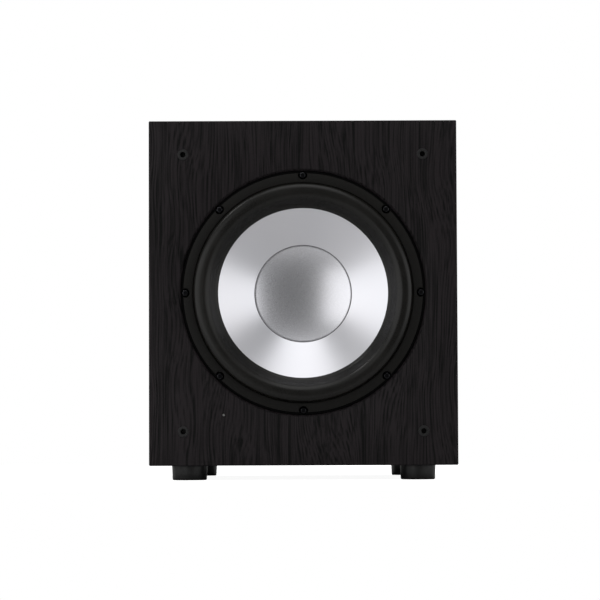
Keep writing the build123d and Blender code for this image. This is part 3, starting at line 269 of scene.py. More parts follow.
# black polypropylene from a plain steel mould, semi-gloss
foot_black = grained(
    "black_polypropylene_semi_gloss", "#090909", "#101010",
    rough=0.34, grain=1.2, relief=0.006, spread=0.05, IOR=1.45,
)
# polished black ABS: sharp highlights, with a slight orange peel about 3 mm across
gloss_black = grained(
    "black_abs_polished", "#0b0b0c", "#121213",
    rough=0.16, grain=3.0, relief=0.004, spread=0.04, IOR=1.53,
)
# black powder coat on aluminium plate: a fine orange peel
coated_black = grained(
    "black_powder_coat", "#17171a", "#222226",
    rough=0.52, grain=0.8, relief=0.03, IOR=1.5,
)
# black oxide on steel: dark, oily metal that still catches a small highlight
screw_black = grained(
    "black_oxide_steel", "#1e1e20", "#2a2a2c",
    rough=0.18, grain=0.6, relief=0.001, metallic=1.0, spread=0.03,
)
# bright zinc plate on steel, slightly clouded
zinc = grained(
    "zinc_plated_steel", "#8e9194", "#b9bcc0",
    rough=0.32, grain=1.5, relief=0.003, metallic=1.0,
)
# nickel plate: warm bright metal, polished
nickel = grained(
    "nickel_plate_polished", "#b9b2a6", "#d6d0c6",
    rough=0.2, grain=2.0, relief=0.002, metallic=1.0, spread=0.05,
)
# plated brass blades, drawn and stamped
brass = grained(
    "plated_brass", "#b08f4f", "#d2b577",
    rough=0.3, grain=0.9, relief=0.003, metallic=1.0,
)
# diffused epoxy lens of an unlit 3 mm lamp, mid grey from outside
lens_epoxy = grained(
    "diffused_epoxy_lens", "#5f5f5e", "#7a7a78",
    rough=0.3, grain=0.5, relief=0.004, IOR=1.55,
)
# bare fibreboard: tan, matt, with short fibres
fibreboard = grained("bare_fibreboard", "#8d7350", "#b1946a", rough=0.85, grain=0.8, relief=0.05)
# white polyester wadding: matt, fluffy lumps
wadding = grained("polyester_wadding", "#cfcfc8", "#eeeee8", rough=0.95, grain=6.0, relief=1.2)
# closed-cell foam gasket: matt black, cell by cell
foam = grained("closed_cell_foam", "#0e0e0e", "#191919", rough=0.85, grain=0.5, relief=0.08)
# dull black prime coat on stamped steel; it is also painted shade, near black and almost without gloss,
# so that the basket's flange in the gap round the driver reads as shadow
primer_and_gap_shade = grained(
    "black_prime_coat_and_painted_gap_shade", "#030303", "#060606",
    rough=0.7, grain=1.0, relief=0.01, Specular_IOR_Level=0.06,
)
# black sealing coat on the routed edges of the board, where the film has been cut through; it is also
# painted shade, near black and almost without gloss, so that the deep gap round the driver reads as
# shadow
sealer_and_gap_shade = grained(
    "black_board_seal_and_painted_gap_shade", "#020202", "#060606",
    rough=0.8, grain=0.6, relief=0.03, Specular_IOR_Level=0.06,
)
# sintered ferrite: charcoal, matt and slightly granular
ferrite = grained("sintered_ferrite", "#232325", "#343437", rough=0.6, grain=0.9, relief=0.03)
# paper phenolic board: brown, with a faint sheet grain
phenolic = grained("paper_phenolic", "#4e2f17", "#6a4524", rough=0.5, grain=1.0, relief=0.01)
# amber polyimide film of the coil's former
polyimide = grained("polyimide_film", "#8a4e14", "#b5722a", rough=0.25, grain=4.0, relief=0.002)
# braided tinsel lead: pale silvery copper strands
braid = grained(
    "braided_tinsel", "#9a8d78", "#cfc4ae",
    rough=0.4, grain=0.3, relief=0.05, metallic=1.0,
)
# green solder mask over glass-fibre board
board_green = grained("green_solder_mask", "#0c3a1c", "#15552b", rough=0.35, grain=2.0, relief=0.01)
# yellow polyester tape wound round the transformer, creased every few millimetres
tape_yellow = grained(
    "yellow_winding_tape", "#a98a17", "#d1b02c",
    rough=0.35, grain=5.0, relief=0.05,
)
# dark blue shrink sleeve on the capacitors' cans
sleeve_blue = grained(
    "blue_shrink_sleeve", "#10183a", "#1b2757",
    rough=0.35, grain=3.0, relief=0.01,
)
# soft PVC insulation of the hook-up leads
red_pvc = grained("red_pvc", "#6e0f0f", "#8f1a1a", rough=0.4, grain=1.0, relief=0.01)
black_pvc = grained("black_pvc", "#0e0e0e", "#181818", rough=0.4, grain=1.0, relief=0.01)
# glass tube of the fuse
tube_glass = grained("fuse_glass", "#a9b4b4", "#c9d2d2", rough=0.1, grain=2.0, relief=0.001)
# coloured nylon inserts of the jacks, satin from the mould
white_nylon = grained("white_nylon", "#c9c9c4", "#dededa", rough=0.38, grain=0.8, relief=0.006)
red_nylon = grained("red_nylon", "#8d1414", "#a81e1e", rough=0.38, grain=0.8, relief=0.006)
# matt white ink, silk-screened on the plate
white_ink = grained("white_screen_ink", "#b9b9b6", "#d8d8d4", rough=0.6, grain=0.4, relief=0.004)
# dark contact glue in the joint between cap and cone
glue = grained("dark_contact_glue", "#4d4b4f", "#636165", rough=0.5, grain=0.6, relief=0.01)

# ---------------------------------------------------------------- mesh helpers


def sheet_faces(rows, columns, round_rows, round_columns):
    """Quads of a rows by columns grid of points, closed along either way where asked."""
    i = np.arange(rows if round_rows else rows - 1)
    j = np.arange(columns if round_columns else columns - 1)
    i, j = np.meshgrid(i, j, indexing="ij")
    down, across = (i + 1) % rows, (j + 1) % columns
    corners = (i * columns + j, i * columns + across, down * columns + across, down * columns + j)
    return np.stack(corners, axis=-1).reshape(-1, 4)


def make_mesh(name, parts, material, sharp_degrees=35.0):
    """One object from (points, quads) parts, its doubles merged and its normals outward."""
    points, quads, start = [], [], 0
    for vertices, faces in parts:
        flat = np.asarray(vertices, float).reshape(-1, 3)
        points.append(flat)
        quads.append(np.asarray(faces) + start)
        start += len(flat)
    mesh = bpy.data.meshes.new(name)
    mesh.from_pydata(np.concatenate(points).tolist(), [], np.concatenate(quads).tolist())
    tidy_mesh(mesh, sharp_degrees)
    mesh.materials.append(material)
    made = bpy.data.objects.new(name, mesh)
    bpy.context.scene.collection.objects.link(made)
    return made


def tidy_mesh(mesh, sharp_degrees):
    """Merges doubles, drops empty faces, turns the normals outward and marks sharp edges."""
    work = bmesh.new()
    work.from_mesh(mesh)
    bmesh.ops.remove_doubles(work, verts=work.verts, dist=1e-7)
    bmesh.ops.dissolve_degenerate(work, edges=work.edges, dist=1e-8)
    bmesh.ops.recalc_face_normals(work, faces=work.faces)
    limit = math.radians(sharp_degrees)
    for face in work.faces:
        face.smooth = True
    for edge in work.edges:
        if edge.is_manifold and edge.calc_face_angle() > limit:
            edge.smooth = False
    work.to_mesh(mesh)
    work.free()


def stacked(loops, centre, closed=True):
    """Loops of X and Z points in millimetres, each at its own way along Y, joined in turn about
    a centre in metres. Closed joins the last loop to the first."""
    grid = [np.column_stack((xz[:, 0], np.full(len(xz), y), xz[:, 1])) for xz, y in loops]
    faces = sheet_faces(len(loops), len(grid[0]), closed, True)
    return np.array(grid) * MM + np.array(centre), faces


def unit_circle(count):
    """Angles evenly round a turn, and their points on a circle of radius 1."""
    t = np.linspace(0, FULL_TURN, count, endpoint=False)
    return t, np.column_stack((np.cos(t), np.sin(t)))


def rounded(outline, steps=5, closed=True):
    """A closed outline of (depth, radius, rounding) points, each corner turned into an arc of
    its own rounding: the arc touches both sides, and its centre is on their bisector."""
    points = np.array([p[:2] for p in outline], float)
    result = []
    count = len(points)
    for k in range(count):
        here, size = points[k], outline[k][2] if len(outline[k]) > 2 else 0.0
        if size <= 0 or (not closed and k in (0, count - 1)):
            result.append(here)
            continue
        back = points[k - 1] - here
        ahead = points[(k + 1) % count] - here
        back, ahead = back / np.linalg.norm(back), ahead / np.linalg.norm(ahead)
        half = math.acos(np.clip(back @ ahead, -1, 1)) / 2
        bisector = (back + ahead) / np.linalg.norm(back + ahead)
        centre = here + bisector * size / math.sin(half)
        first = here + back * size / math.tan(half) - centre
        last = here + ahead * size / math.tan(half) - centre
        a0, a1 = math.atan2(first[1], first[0]), math.atan2(last[1], last[0])
        sweep = (a1 - a0 + math.pi) % FULL_TURN - math.pi
        angles = a0 + sweep * np.linspace(0, 1, steps + 1)
        result.extend(centre + size * np.stack((np.cos(angles), np.sin(angles)), axis=1))
    return np.array(result)


def turned(profile, centre, axis, segments=192, closed=True):
    """A lathed surface. Profile rows are (way along the axis, radius); the surface's point is
    centre + way * axis + radius * (cos t, sin t) in the plane across the axis."""
    profile = np.asarray(profile, float)
    axis = np.array(axis, float)
    first = np.cross(axis, (0, 0, 1.0))
    if np.linalg.norm(first) < 0.1:
        first = np.array((1.0, 0, 0))
    first /= np.linalg.norm(first)
    second = np.cross(axis, first)
    around = unit_circle(segments)[1] @ np.array((first, second))
    points = np.array(centre, float) + profile[:, None, :1] * axis + profile[:, None, 1:] * around
    return points, sheet_faces(len(profile), segments, closed, True)


def on_driver(profile_mm, segments=192, closed=True):
    """A lathed surface about the driver's axis, from (depth, radius) in millimetres."""
    profile = np.asarray(profile_mm, float) * MM
    return turned(profile, (0, front_y, driver_z), (0, 1, 0), segments, closed)


def settle(piece, body, slot, *nodes):
    """The piece rides on a body and stands for its CAD nodes, which are hidden. The slot is not used.
    """
    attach(piece, body)
    if nodes:
        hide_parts(*nodes)
    return piece


# ---------------------------------------------------------------- cabinet front

RECESS_R = 133.2
RECESS_DEPTH = 6.0
RECESS_CHAMFER = 2.6
CUTOUT_R = 116.0
EDGE_ROUND = 1.2
BOARD_SHARP = 30.0
SOCKET_FLANGE_R = 6.2
SOCKET_BORE_R = 3.0
SOCKET_BODY_R = 5.0
LENS_R = 1.52
LENS_FLANGE_R = 2.4
DRILL_PLAY = 0.1
socket_low, socket_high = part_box("grille_sockets")
SOCKET_X = (socket_high[0] - socket_low[0]) / 2 - SOCKET_FLANGE_R * MM
SOCKET_Z = (socket_high[2] - socket_low[2]) / 2 - SOCKET_FLANGE_R * MM
SOCKET_CENTRES = [
    (sx * SOCKET_X, front_y, driver_z + sz * SOCKET_Z) for sx in (-1, 1) for sz in (-1, 1)
]


def rounded_rectangle(half_width, half_height, corner, per_side=44, per_corner=7):
    """Points round a rectangle with quarter-circle corners, anticlockwise from the right."""
    loop = []
    centres = [(1, 1), (-1, 1), (-1, -1), (1, -1)]
    for k, (sx, sz) in enumerate(centres):
        turn = np.linspace(0, math.pi / 2, per_corner) + k * math.pi / 2
        cx, cz = sx * (half_width - corner), sz * (half_height - corner)
        arc = np.stack((cx + corner * np.cos(turn), cz + corner * np.sin(turn)), axis=1)
        loop.append(arc)
        nx, nz = centres[(k + 1) % 4]
        turned_next = (k + 1) * math.pi / 2
        start = arc[-1]
        ncx, ncz = nx * (half_width - corner), nz * (half_height - corner)
        end = np.array((ncx + corner * math.cos(turned_next), ncz + corner * math.sin(turned_next)))
        share = np.linspace(0, 1, per_side + 2)[1:-1, None]
        loop.append(start + (end - start) * share)
    return np.concatenate(loop)


def make_baffle():
    """The front board as loops of points: circles of the driver's recess and cutout grow into
    rounded rectangles at the edges, so every ring of faces runs between two loops."""
    half_width = (baffle_high[0] - baffle_low[0]) / 2 / MM
    half_height = (baffle_high[2] - baffle_low[2]) / 2 / MM
    thick = (baffle_rear - front_y) / MM
    outer = rounded_rectangle(half_width, half_height, EDGE_ROUND + 0.01)
    angle = np.arctan2(outer[:, 1], outer[:, 0])
    ring = np.stack((np.cos(angle), np.sin(angle)), axis=1)
    loops = [
        (ring * CUTOUT_R, thick),
        (ring * CUTOUT_R, RECESS_DEPTH),
        (ring * RECESS_R, RECESS_DEPTH),
        (ring * RECESS_R, RECESS_CHAMFER + 0.15),
        (ring * (RECESS_R + 0.1), RECESS_CHAMFER - 0.05),
        (ring * (RECESS_R + RECESS_CHAMFER - 0.15), 0.1),
        (ring * (RECESS_R + RECESS_CHAMFER + 0.1), 0.0),
    ]
    for turn in np.linspace(0, math.pi / 2, 6):
        inset = EDGE_ROUND * (1 - math.sin(turn))
        corner = EDGE_ROUND + 0.01 - inset
        loop = rounded_rectangle(half_width - inset, half_height - inset, corner)
        loops.append((loop, EDGE_ROUND * (1 - math.cos(turn))))
    loops.append((outer, thick))
    shape = stacked(loops, (0, front_y, driver_z))
    board = make_mesh("baffle_board", [shape], vertical_vinyl, BOARD_SHARP)
    board.data.materials.append(sealer_and_gap_shade)
    # the recess's wall and floor and the board's rear take the near-black sealing coat, which is
    # painted shade in the gap round the driver
    sealed_and_shaded_r = (RECESS_R + 0.3) * MM
    for face in board.data.polygons:
        x, y, z = face.center
        inside = math.hypot(x, z - driver_z) < sealed_and_shaded_r
        if inside or y > baffle_rear - 0.1 * MM:
            face.material_index = 1
    drill = make_drill()
    cut = board.modifiers.new("holes", "BOOLEAN")
    cut.object, cut.operation, cut.solver = drill, "DIFFERENCE", "EXACT"
    apply_modifiers(board)
    tidy_mesh(board.data, BOARD_SHARP)
    bpy.data.objects.remove(drill)
    return settle(board, "cabinet", "black_ash_vinyl", "front_baffle")


def apply_modifiers(piece):
    """Turns the piece's modifiers into its mesh."""
    graph = bpy.context.evaluated_depsgraph_get()
    mesh = bpy.data.meshes.new_from_object(piece.evaluated_get(graph))
    piece.modifiers.clear()
    piece.data = mesh


def make_drill():
    """Rods that drill the baffle: four grille sockets and the status light, which is stepped."""
    radius = SOCKET_BODY_R + DRILL_PLAY
    cup = [(-1, 0), (-1, radius), (12.5, radius), (12.5, 0)]
    rods = [turned(np.array(cup) * MM, centre, (0, 1, 0), 48, False) for centre in SOCKET_CENTRES]
    light = middle("status_led")
    step = [(-1, 0), (-1, 1.6), (6, 1.6), (6, 2.6), (26, 2.6), (26, 0)]
    rods.append(turned(np.array(step) * MM, (light.x, front_y, light.z), (0, 1, 0), 32, False))
    return make_mesh("drill", rods, vertical_vinyl)


def make_sockets():
    """Four moulded cups: a rounded flange on the board and a blind hole for the peg."""
    outline = [
        (11.2, 0),
        (11.2, SOCKET_BORE_R),
        (-0.5, SOCKET_BORE_R, 0.25),
        (-0.8, SOCKET_BORE_R + 0.4, 0.2),
        (-0.8, SOCKET_FLANGE_R - 0.6, 0.5),
        (0.0, SOCKET_FLANGE_R, 0.2),
        (0.0, SOCKET_BODY_R),
        (12.0, SOCKET_BODY_R, 0.3),
        (12.0, 0),
    ]
    profile = rounded(outline, 4, closed=False) * MM
    parts = [turned(profile, centre, (0, 1, 0), 48, False) for centre in SOCKET_CENTRES]
    cups = make_mesh("socket_cups", parts, textured_black)
    return settle(cups, "cabinet", "black_plastic", "grille_sockets")


def make_status_light():
    """A domed 3 mm lens, just behind the baffle's face: a half circle on a short rod."""
    light = middle("status_led")
    turn = np.linspace(math.pi / 2, 0, 9)
    dome = np.column_stack((1.1 - np.sin(turn), LENS_R * np.cos(turn)))
    shank = [(6.0, LENS_R), (6.0, LENS_FLANGE_R), (11.0, LENS_FLANGE_R), (11.0, 0)]
    profile = np.concatenate((dome, shank)) * MM
    parts = [turned(profile, (light.x, front_y, light.z), (0, 1, 0), 32, False)]
    lens = make_mesh("status_lens", parts, lens_epoxy)
    return settle(lens, "cabinet", "led_lens", "status_led")


def make_feet():
    """Four turned feet with a slight taper, a rounded lower edge and a screw well. The outline
    is (height, radius, rounding)."""
    outline = [
        (9.0, 2.2),
        (9.0, 6.0, 0.4),
        (0.0, 6.0, 0.6),
        (0.0, 18.8, 1.6),
        (15.6, 19.55, 0.4),
        (16.0, 19.0),
        (16.0, 2.2),
    ]
    profile = rounded(outline, 5) * MM
    for end in ("front", "rear"):
        for side in ("left", "right"):
            name = f"foot_{end}_{side}"
            centre = middle(name)
            parts = [turned(profile, (centre.x, centre.y, 0), (0, 0, 1), 128)]
            foot = make_mesh(f"moulded_{name}", parts, foot_black)
            settle(foot, "cabinet", "foot_plastic", name)


# ---------------------------------------------------------------- driver

CONE_RIM_R = 100.0
CONE_RIM_DEPTH = 3.4
CONE_SLOPE = math.radians(24.0)
CONE_SHEET = 0.66
NECK_R = 25.75
CAP_R = 52.8
CAP_CURVE_R = 181.0
CAP_SHEET = 0.6
FLANGE_FACE = 3.0
TRIM_R = 130.4
TRIM_INNER_R = 120.2
SCREW_CIRCLE_R = 128.3
SCREW_COUNT = 8
NOTCH_R = 4.8
ROLL_MID_R = 109.5
ROLL_R = 9.5
RUBBER_SHEET = 1.2
LIP_R = 123.6
LIP_INNER_R = 92.65
SHOULDER_POWER = 3
SHOULDER_REACH = 10.15
SHOULDER_FOOT = 0.9
SPIDER_INNER_R = 25.9
SPIDER_OUTER_R = 78.8
SPIDER_WAVES = 5
SPIDER_RISE = 1.8
SPIDER_SHEET = 0.8


def cone_depth(radius):
    """Depth of the cone's front face: a straight slope inward from the rim."""
    return CONE_RIM_DEPTH + (CONE_RIM_R - radius) * math.tan(CONE_SLOPE)


def make_cone():
    """The cone: a straight-sided shell, finely divided so that reflections stay smooth."""
    radii = np.linspace(CONE_RIM_R, NECK_R, 24)
    front = np.column_stack((cone_depth(radii), radii))
    rear = front[::-1] + (CONE_SHEET, 0)
    shell = make_mesh("silver_cone", [on_driver(np.concatenate((front, rear)), 256)], cone_silver)
    return settle(shell, "cone_assembly", "cone_metal", "cone")


def cap_front(radius):
    """Depth of the cap's front face: a shallow bowl, a cap of a large sphere."""
    edge = cone_depth(CAP_R) - 0.05 - CAP_SHEET
    sag = CAP_CURVE_R - np.sqrt(CAP_CURVE_R**2 - radius**2)
    edge_sag = CAP_CURVE_R - math.sqrt(CAP_CURVE_R**2 - CAP_R**2)
    return edge + edge_sag - sag


def make_dust_cap():
    """The dished cap, its rim turned over a little, with the glue line round it."""
    radii = np.linspace(0, CAP_R - 0.25, 40)
    front = np.column_stack((cap_front(radii), radii))
    rim = cap_front(CAP_R)
    edge = [(rim + 0.1, CAP_R - 0.06), (rim + 0.3, CAP_R), (rim + CAP_SHEET, CAP_R)]
    rear = np.column_stack((cap_front(radii[::-1]) + CAP_SHEET, radii[::-1]))
    profile = np.concatenate((front, edge, rear))
    cap = make_mesh("dished_cap", [on_driver(profile, 256, closed=False)], cap_silver)
    settle(cap, "cone_assembly", "cap_metal", "dust_cap")
    ring = [
        (cone_depth(CAP_R + 0.75) - 0.02, CAP_R + 0.75),
        (cone_depth(CAP_R + 0.4) - 0.3, CAP_R + 0.4),
        (cone_depth(CAP_R) - 0.45, CAP_R + 0.01),
        (cone_depth(CAP_R), CAP_R + 0.01),
    ]
    bead = make_mesh("cap_glue_line", [on_driver(ring, 256)], glue)
    return settle(bead, "cone_assembly", "cone_metal")


def bent(start, corner, end, steps):
    """Points of a quadratic curve from start to end, pulled towards the corner."""
    t = np.linspace(0, 1, steps)[:, None]
    start, corner, end = (np.array(p, float) for p in (start, corner, end))
    return (1 - t) ** 2 * start + 2 * t * (1 - t) * corner + t**2 * end


def roll_profile():
    """The surround's section, as a closed loop of (depth, radius): an outer lip, one half roll
    and an inner lip that lies on the cone. Outside its crest the roll's front is a superellipse
    of power 3, so its shoulder is tight; inside it is a circle, which leaves along its tangent
    into a long fillet on the lip. The rear is a circle about the same centre."""
    mid_depth = FLANGE_FACE - RUBBER_SHEET / 2
    outer, inner = ROLL_R + RUBBER_SHEET / 2, ROLL_R - RUBBER_SHEET / 2
    lip_front = FLANGE_FACE - RUBBER_SHEET
    power = SHOULDER_POWER
    foot_share = (1 - ((mid_depth - SHOULDER_FOOT) / outer) ** power) ** (1 / power)
    u = foot_share * np.sin(np.linspace(math.pi / 2, 0, 30))
    height = outer * (1 - u**power) ** (1 / power)
    shoulder = np.column_stack((mid_depth - height, ROLL_MID_R + SHOULDER_REACH * u))
    foot, pull = (lip_front, ROLL_MID_R + 10.4), (lip_front, ROLL_MID_R + 10.0)
    outer_foot = bent(foot, pull, shoulder[0], 6)[:-1]
    turn = np.radians(np.linspace(92, 146, 24))
    inside = np.column_stack((mid_depth - outer * np.sin(turn), ROLL_MID_R + outer * np.cos(turn)))
    tangent = np.array((-math.cos(turn[-1]), -math.sin(turn[-1])))
    slope = math.tan(CONE_SLOPE)
    start = inside[-1]
    run = cone_depth(start[1]) - RUBBER_SHEET - start[0]
    corner = start + tangent * run / (tangent[0] + tangent[1] * slope)
    lip_end = LIP_INNER_R + 0.6
    lip_start = (corner[1] + lip_end) / 2
    fillet_end = (cone_depth(lip_start) - RUBBER_SHEET, lip_start)
    inner_foot = bent(start, corner, fillet_end, 14)[1:]
    lip = [
        (cone_depth(lip_end) - RUBBER_SHEET, lip_end),
        (cone_depth(LIP_INNER_R) - 0.8, LIP_INNER_R + 0.1),
    ]
    under = np.linspace(LIP_INNER_R, CONE_RIM_R, 6)
    beneath = np.column_stack((cone_depth(under) - 0.05, under))
    low = math.asin((mid_depth - FLANGE_FACE) / inner)
    turn = np.linspace(math.pi - low, low, 40)
    rear = np.column_stack((mid_depth - inner * np.sin(turn), ROLL_MID_R + inner * np.cos(turn)))
    flange = [(FLANGE_FACE, LIP_R), (lip_front, LIP_R)]
    return np.concatenate((outer_foot, shoulder, inside, inner_foot, lip, beneath, rear, flange))


def share_of_stroke(piece):
    """Reads the piece's points into an array; nothing is set from them."""
    points = np.empty(len(piece.data.vertices) * 3)
    piece.data.vertices.foreach_get("co", points)
    points = points.reshape(-1, 3)


def make_surround():
    """The rubber half roll."""
    piece = make_mesh("rubber_surround", [on_driver(roll_profile(), 256)], rubber, 50.0)
    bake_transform(piece)
    share_of_stroke(piece)
    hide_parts("surround")
    return piece


def make_spider():
    """The corrugated spider behind the cone: a sine wave across the cloth, flat at its rims."""
    low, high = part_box("spider")
    mid_depth = ((low[1] + high[1]) / 2 - front_y) / MM
    radii = np.linspace(SPIDER_INNER_R, SPIDER_OUTER_R, 120)
    flat_inside, flat_outside = 30, 70
    wavy = np.clip((radii - flat_inside) / (flat_outside - flat_inside), 0, 1)
    depth = mid_depth - SPIDER_RISE * np.sin(FULL_TURN * SPIDER_WAVES * wavy)
    front = np.column_stack((depth - SPIDER_SHEET / 2, radii))
    rear = np.column_stack((depth + SPIDER_SHEET / 2, radii))[::-1]
    profile = np.concatenate((front, rear))
    piece = make_mesh("woven_spider", [on_driver(profile, 128)], cotton, 60.0)
    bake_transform(piece)
    share_of_stroke(piece)
    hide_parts("spider")
    return piece


def make_tinsel():
    """Two tinsel leads from the cone to the terminals, copied from the CAD node's mesh."""
    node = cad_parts["tinsel_leads"]
    piece = bpy.data.objects.new("limp_tinsel", node.data.copy())
    bpy.context.scene.collection.objects.link(piece)
    tidy_mesh(piece.data, 40.0)
    piece.data.materials.clear()
    piece.data.materials.append(braid)
    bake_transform(piece)
    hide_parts("tinsel_leads")
    return piece


def notched_ring(radius, notch):
    """Points round a circle that eight screw notches bite into. Each notch is a circle about
    a screw, of the given radius, and the outline follows whichever lies further in."""
    cosine = (radius**2 + SCREW_CIRCLE_R**2 - notch**2) / (2 * radius * SCREW_CIRCLE_R)
    half = math.acos(cosine)
    mouth = math.atan2(radius * math.sin(half), radius * math.cos(half) - SCREW_CIRCLE_R)
    pitch = FULL_TURN / SCREW_COUNT
    loop = []
    for k in range(SCREW_COUNT):
        angle = k * pitch
        bite = np.linspace(FULL_TURN - mouth, mouth, 25)
        x = SCREW_CIRCLE_R + notch * np.cos(bite)
        y = notch * np.sin(bite)
        cos, sin = math.cos(angle), math.sin(angle)
        loop.append(np.column_stack((x * cos - y * sin, x * sin + y * cos)))
        rim = np.linspace(angle + half, angle + pitch - half, 24)[1:-1]
        loop.append(radius * np.column_stack((np.cos(rim), np.sin(rim))))
    return np.concatenate(loop)


def make_trim_ring():
    """The flat rubber ring: loops of points from its inner edge, over the face, round the
    notches and back underneath."""
    outer = notched_ring(TRIM_R, NOTCH_R)
    face = notched_ring(TRIM_R - 0.35, NOTCH_R + 0.35)
    angle = np.unwrap(np.arctan2(outer[:, 1], outer[:, 0]))
    angle = np.maximum.accumulate(angle)
    ring = np.column_stack((np.cos(angle), np.sin(angle)))
    rebate = FLANGE_FACE - RUBBER_SHEET
    loops = [
        (ring * (LIP_R + 0.15), rebate),
        (ring * (TRIM_INNER_R - 0.3), rebate),
        (ring * (TRIM_INNER_R - 0.6), 1.3),
        (ring * (TRIM_INNER_R - 0.55), 0.95),
        (ring * (TRIM_INNER_R - 0.3), 0.55),
        (ring * (TRIM_INNER_R + 0.1), 0.25),
        (ring * (TRIM_INNER_R + 0.6), 0.07),
        (ring * (TRIM_INNER_R + 1.1), 0.0),
        (face, 0.0),
        (face * 0.3 + outer * 0.7, 0.1),
        (outer, 0.4),
        (outer, FLANGE_FACE),
        (ring * (LIP_R + 0.15), FLANGE_FACE),
    ]
    shape = stacked(loops, (0, front_y, driver_z))
    piece = make_mesh("notched_trim_ring", [shape], gasket_rubber, 40.0)
    return settle(piece, "cabinet", "trim_rubber", "trim_ring")


POLE = 0.01
HEAD_R = 4.1
HEAD_HEIGHT = 2.6
SOCKET_R = 2.0
SHANK_R = 1.9
SHANK_LENGTH = 15.0


def socket_head(centre, radius, height, socket_r, spin, depth=2.0):
    """A domed screw head with a six-sided socket, as loops from its seat over the dome to the
    socket's floor. The dome is part of a sphere that meets the rim at 55 degrees and ends at
    the edge of the socket. The head stands towards the viewer, along -Y, on its centre."""
    t, circle = unit_circle(48)
    flats = math.cos(math.pi / 6) / np.cos((t - spin) % (math.pi / 3) - math.pi / 6)
    hexagon = circle * flats[:, None]
    sphere = radius / math.sin(math.radians(55))
    break_edge, land = 0.05, 0.25
    steepest = math.asin((radius - break_edge) / sphere)
    flattest = math.asin((socket_r + land) / sphere)
    rim = height - sphere * (math.cos(flattest) - math.cos(steepest))
    loops = [(circle * POLE, 0.0), (circle * radius, 0.0), (circle * radius, -(rim - break_edge))]
    for slope in np.linspace(steepest, flattest, 12):
        rise = sphere * (math.cos(slope) - math.cos(steepest))
        loops.append((circle * sphere * math.sin(slope), -(rim + rise)))
    loops += [
        (hexagon * (socket_r + 0.1), -height + 0.02),
        (hexagon * socket_r, -(height - 0.12)),
        (hexagon * socket_r, -(height - depth)),
        (circle * POLE, -(height - depth)),
    ]
    return stacked(loops, centre)


def make_driver_screws():
    """Eight socket-head screws in the trim ring's notches, each turned its own way."""
    parts = []
    for k in range(SCREW_COUNT):
        angle = k * FULL_TURN / SCREW_COUNT
        x = SCREW_CIRCLE_R * MM * math.cos(angle)
        z = driver_z + SCREW_CIRCLE_R * MM * math.sin(angle)
        seat = front_y + FLANGE_FACE * MM
        parts.append(socket_head((x, seat, z), HEAD_R, HEAD_HEIGHT, SOCKET_R, 0.7 * k))
        shank = [(0.0, POLE), (0.0, SHANK_R), (SHANK_LENGTH, SHANK_R), (SHANK_LENGTH, POLE)]
        parts.append(turned(np.array(shank) * MM, (x, seat, z), (0, 1, 0), 16))
    screws = make_mesh("driver_socket_screws", parts, screw_black)
    return settle(screws, "cabinet", "black_screw", "driver_screws")


# ---------------------------------------------------------------- port

PORT_R = 34.0
PORT_WALL = 2.0
PORT_CURVE = 13.0
PORT_RIM = 3.0
COLLAR_R = 40.0
TUBE_START = 18.0
TUBE_END = 158.0
OVERLAP = 16.0
PORT_LENGTH = 179.0
FLARE_WALL = 2.5


def on_port(name, profile_mm, finish, node):
    """A turned piece of the port, from (way in from the rear face, radius) in millimetres."""
    profile = np.asarray(profile_mm, float) * MM
    piece = make_mesh(name, [turned(profile, (0, rear_y, port_z), (0, -1, 0), 160)], finish)
    return settle(piece, "cabinet", "black_plastic", node)


def arc(centre, radius, first, last, steps=20):
    """Points of an arc about a centre, between two angles in degrees."""
    turn = np.radians(np.linspace(first, last, steps))
    return np.column_stack((centre[0] + radius * np.cos(turn), centre[1] + radius * np.sin(turn)))


def make_port():
    """Rear flare, straight pipe and inner flare: each throat is a quarter circle that leaves
    the bore along its tangent."""
    mouth_r = PORT_R + PORT_CURVE
    rim_r = mouth_r + PORT_RIM
    pipe_r = PORT_R + PORT_WALL
    over_r = pipe_r + 0.1
    tongue = TUBE_START + OVERLAP
    outline = [
        (-PORT_RIM, rim_r - 1.2),
        (-PORT_RIM + 0.35, rim_r - 0.35),
        (-PORT_RIM + 1.2, rim_r),
        (0, rim_r),
        (0, COLLAR_R),
        (tongue, COLLAR_R),
        (tongue, over_r),
        (TUBE_START, over_r),
        (TUBE_START, PORT_R),
    ]
    throat = arc((PORT_CURVE - PORT_RIM, mouth_r), PORT_CURVE, 270, 180)
    on_port("port_rear_flare", np.concatenate((outline, throat)), gloss_black, "port_outer_flare")
    pipe = [(TUBE_START, PORT_R), (TUBE_END, PORT_R), (TUBE_END, pipe_r), (TUBE_START, pipe_r)]
    on_port("port_pipe", pipe, textured_black, "port_tube")
    centre = (PORT_LENGTH - PORT_CURVE, mouth_r)
    sleeve = [
        (TUBE_END, PORT_R),
        (TUBE_END, over_r),
        (TUBE_END - OVERLAP, over_r),
        (TUBE_END - OVERLAP, pipe_r + 3),
        (TUBE_END + 2, pipe_r + 3),
        (TUBE_END + 4, PORT_R + FLARE_WALL),
    ]
    inner = arc(centre, PORT_CURVE, 360, 270)
    back = arc(centre, PORT_CURVE - FLARE_WALL, 270, 360)
    edge = [(PORT_LENGTH - FLARE_WALL, rim_r), (PORT_LENGTH, rim_r)]
    profile = np.concatenate((inner, sleeve, back, edge))
    on_port("port_inside_flare", profile, gloss_black, "port_inner_flare")


# ---------------------------------------------------------------- rear controls

KNOB_R = 9.0
KNOB_TIP_R = 8.2
KNOB_FOOT = 0.5
KNOB_HEIGHT = 14.0
KNOB_ROUND = 0.8
KNOB_DISH = 0.25
KNOB_BORE_R = 4.2
FLUTES = 20
FLUTE_R = 0.75
FLUTE_SHY = 0.1
FLUTE_START = 3.5
POINTER = (1.2, 0.35, 5.4)
POINTER_OUT = 4.2
INK = 0.06
INK_LINE = 0.45
SCALE_R = 11.0
JACK_FRAME_WIDTH = 41.0
JACK_FRAME_GAP = 3.2
INLET_FRAME_GAP = 3.0
JACK_ROWS = {"left": -4.0, "right": -22.0}
JACK_COLUMNS = (34.0, 58.0)
JACK_FACE = 8.5


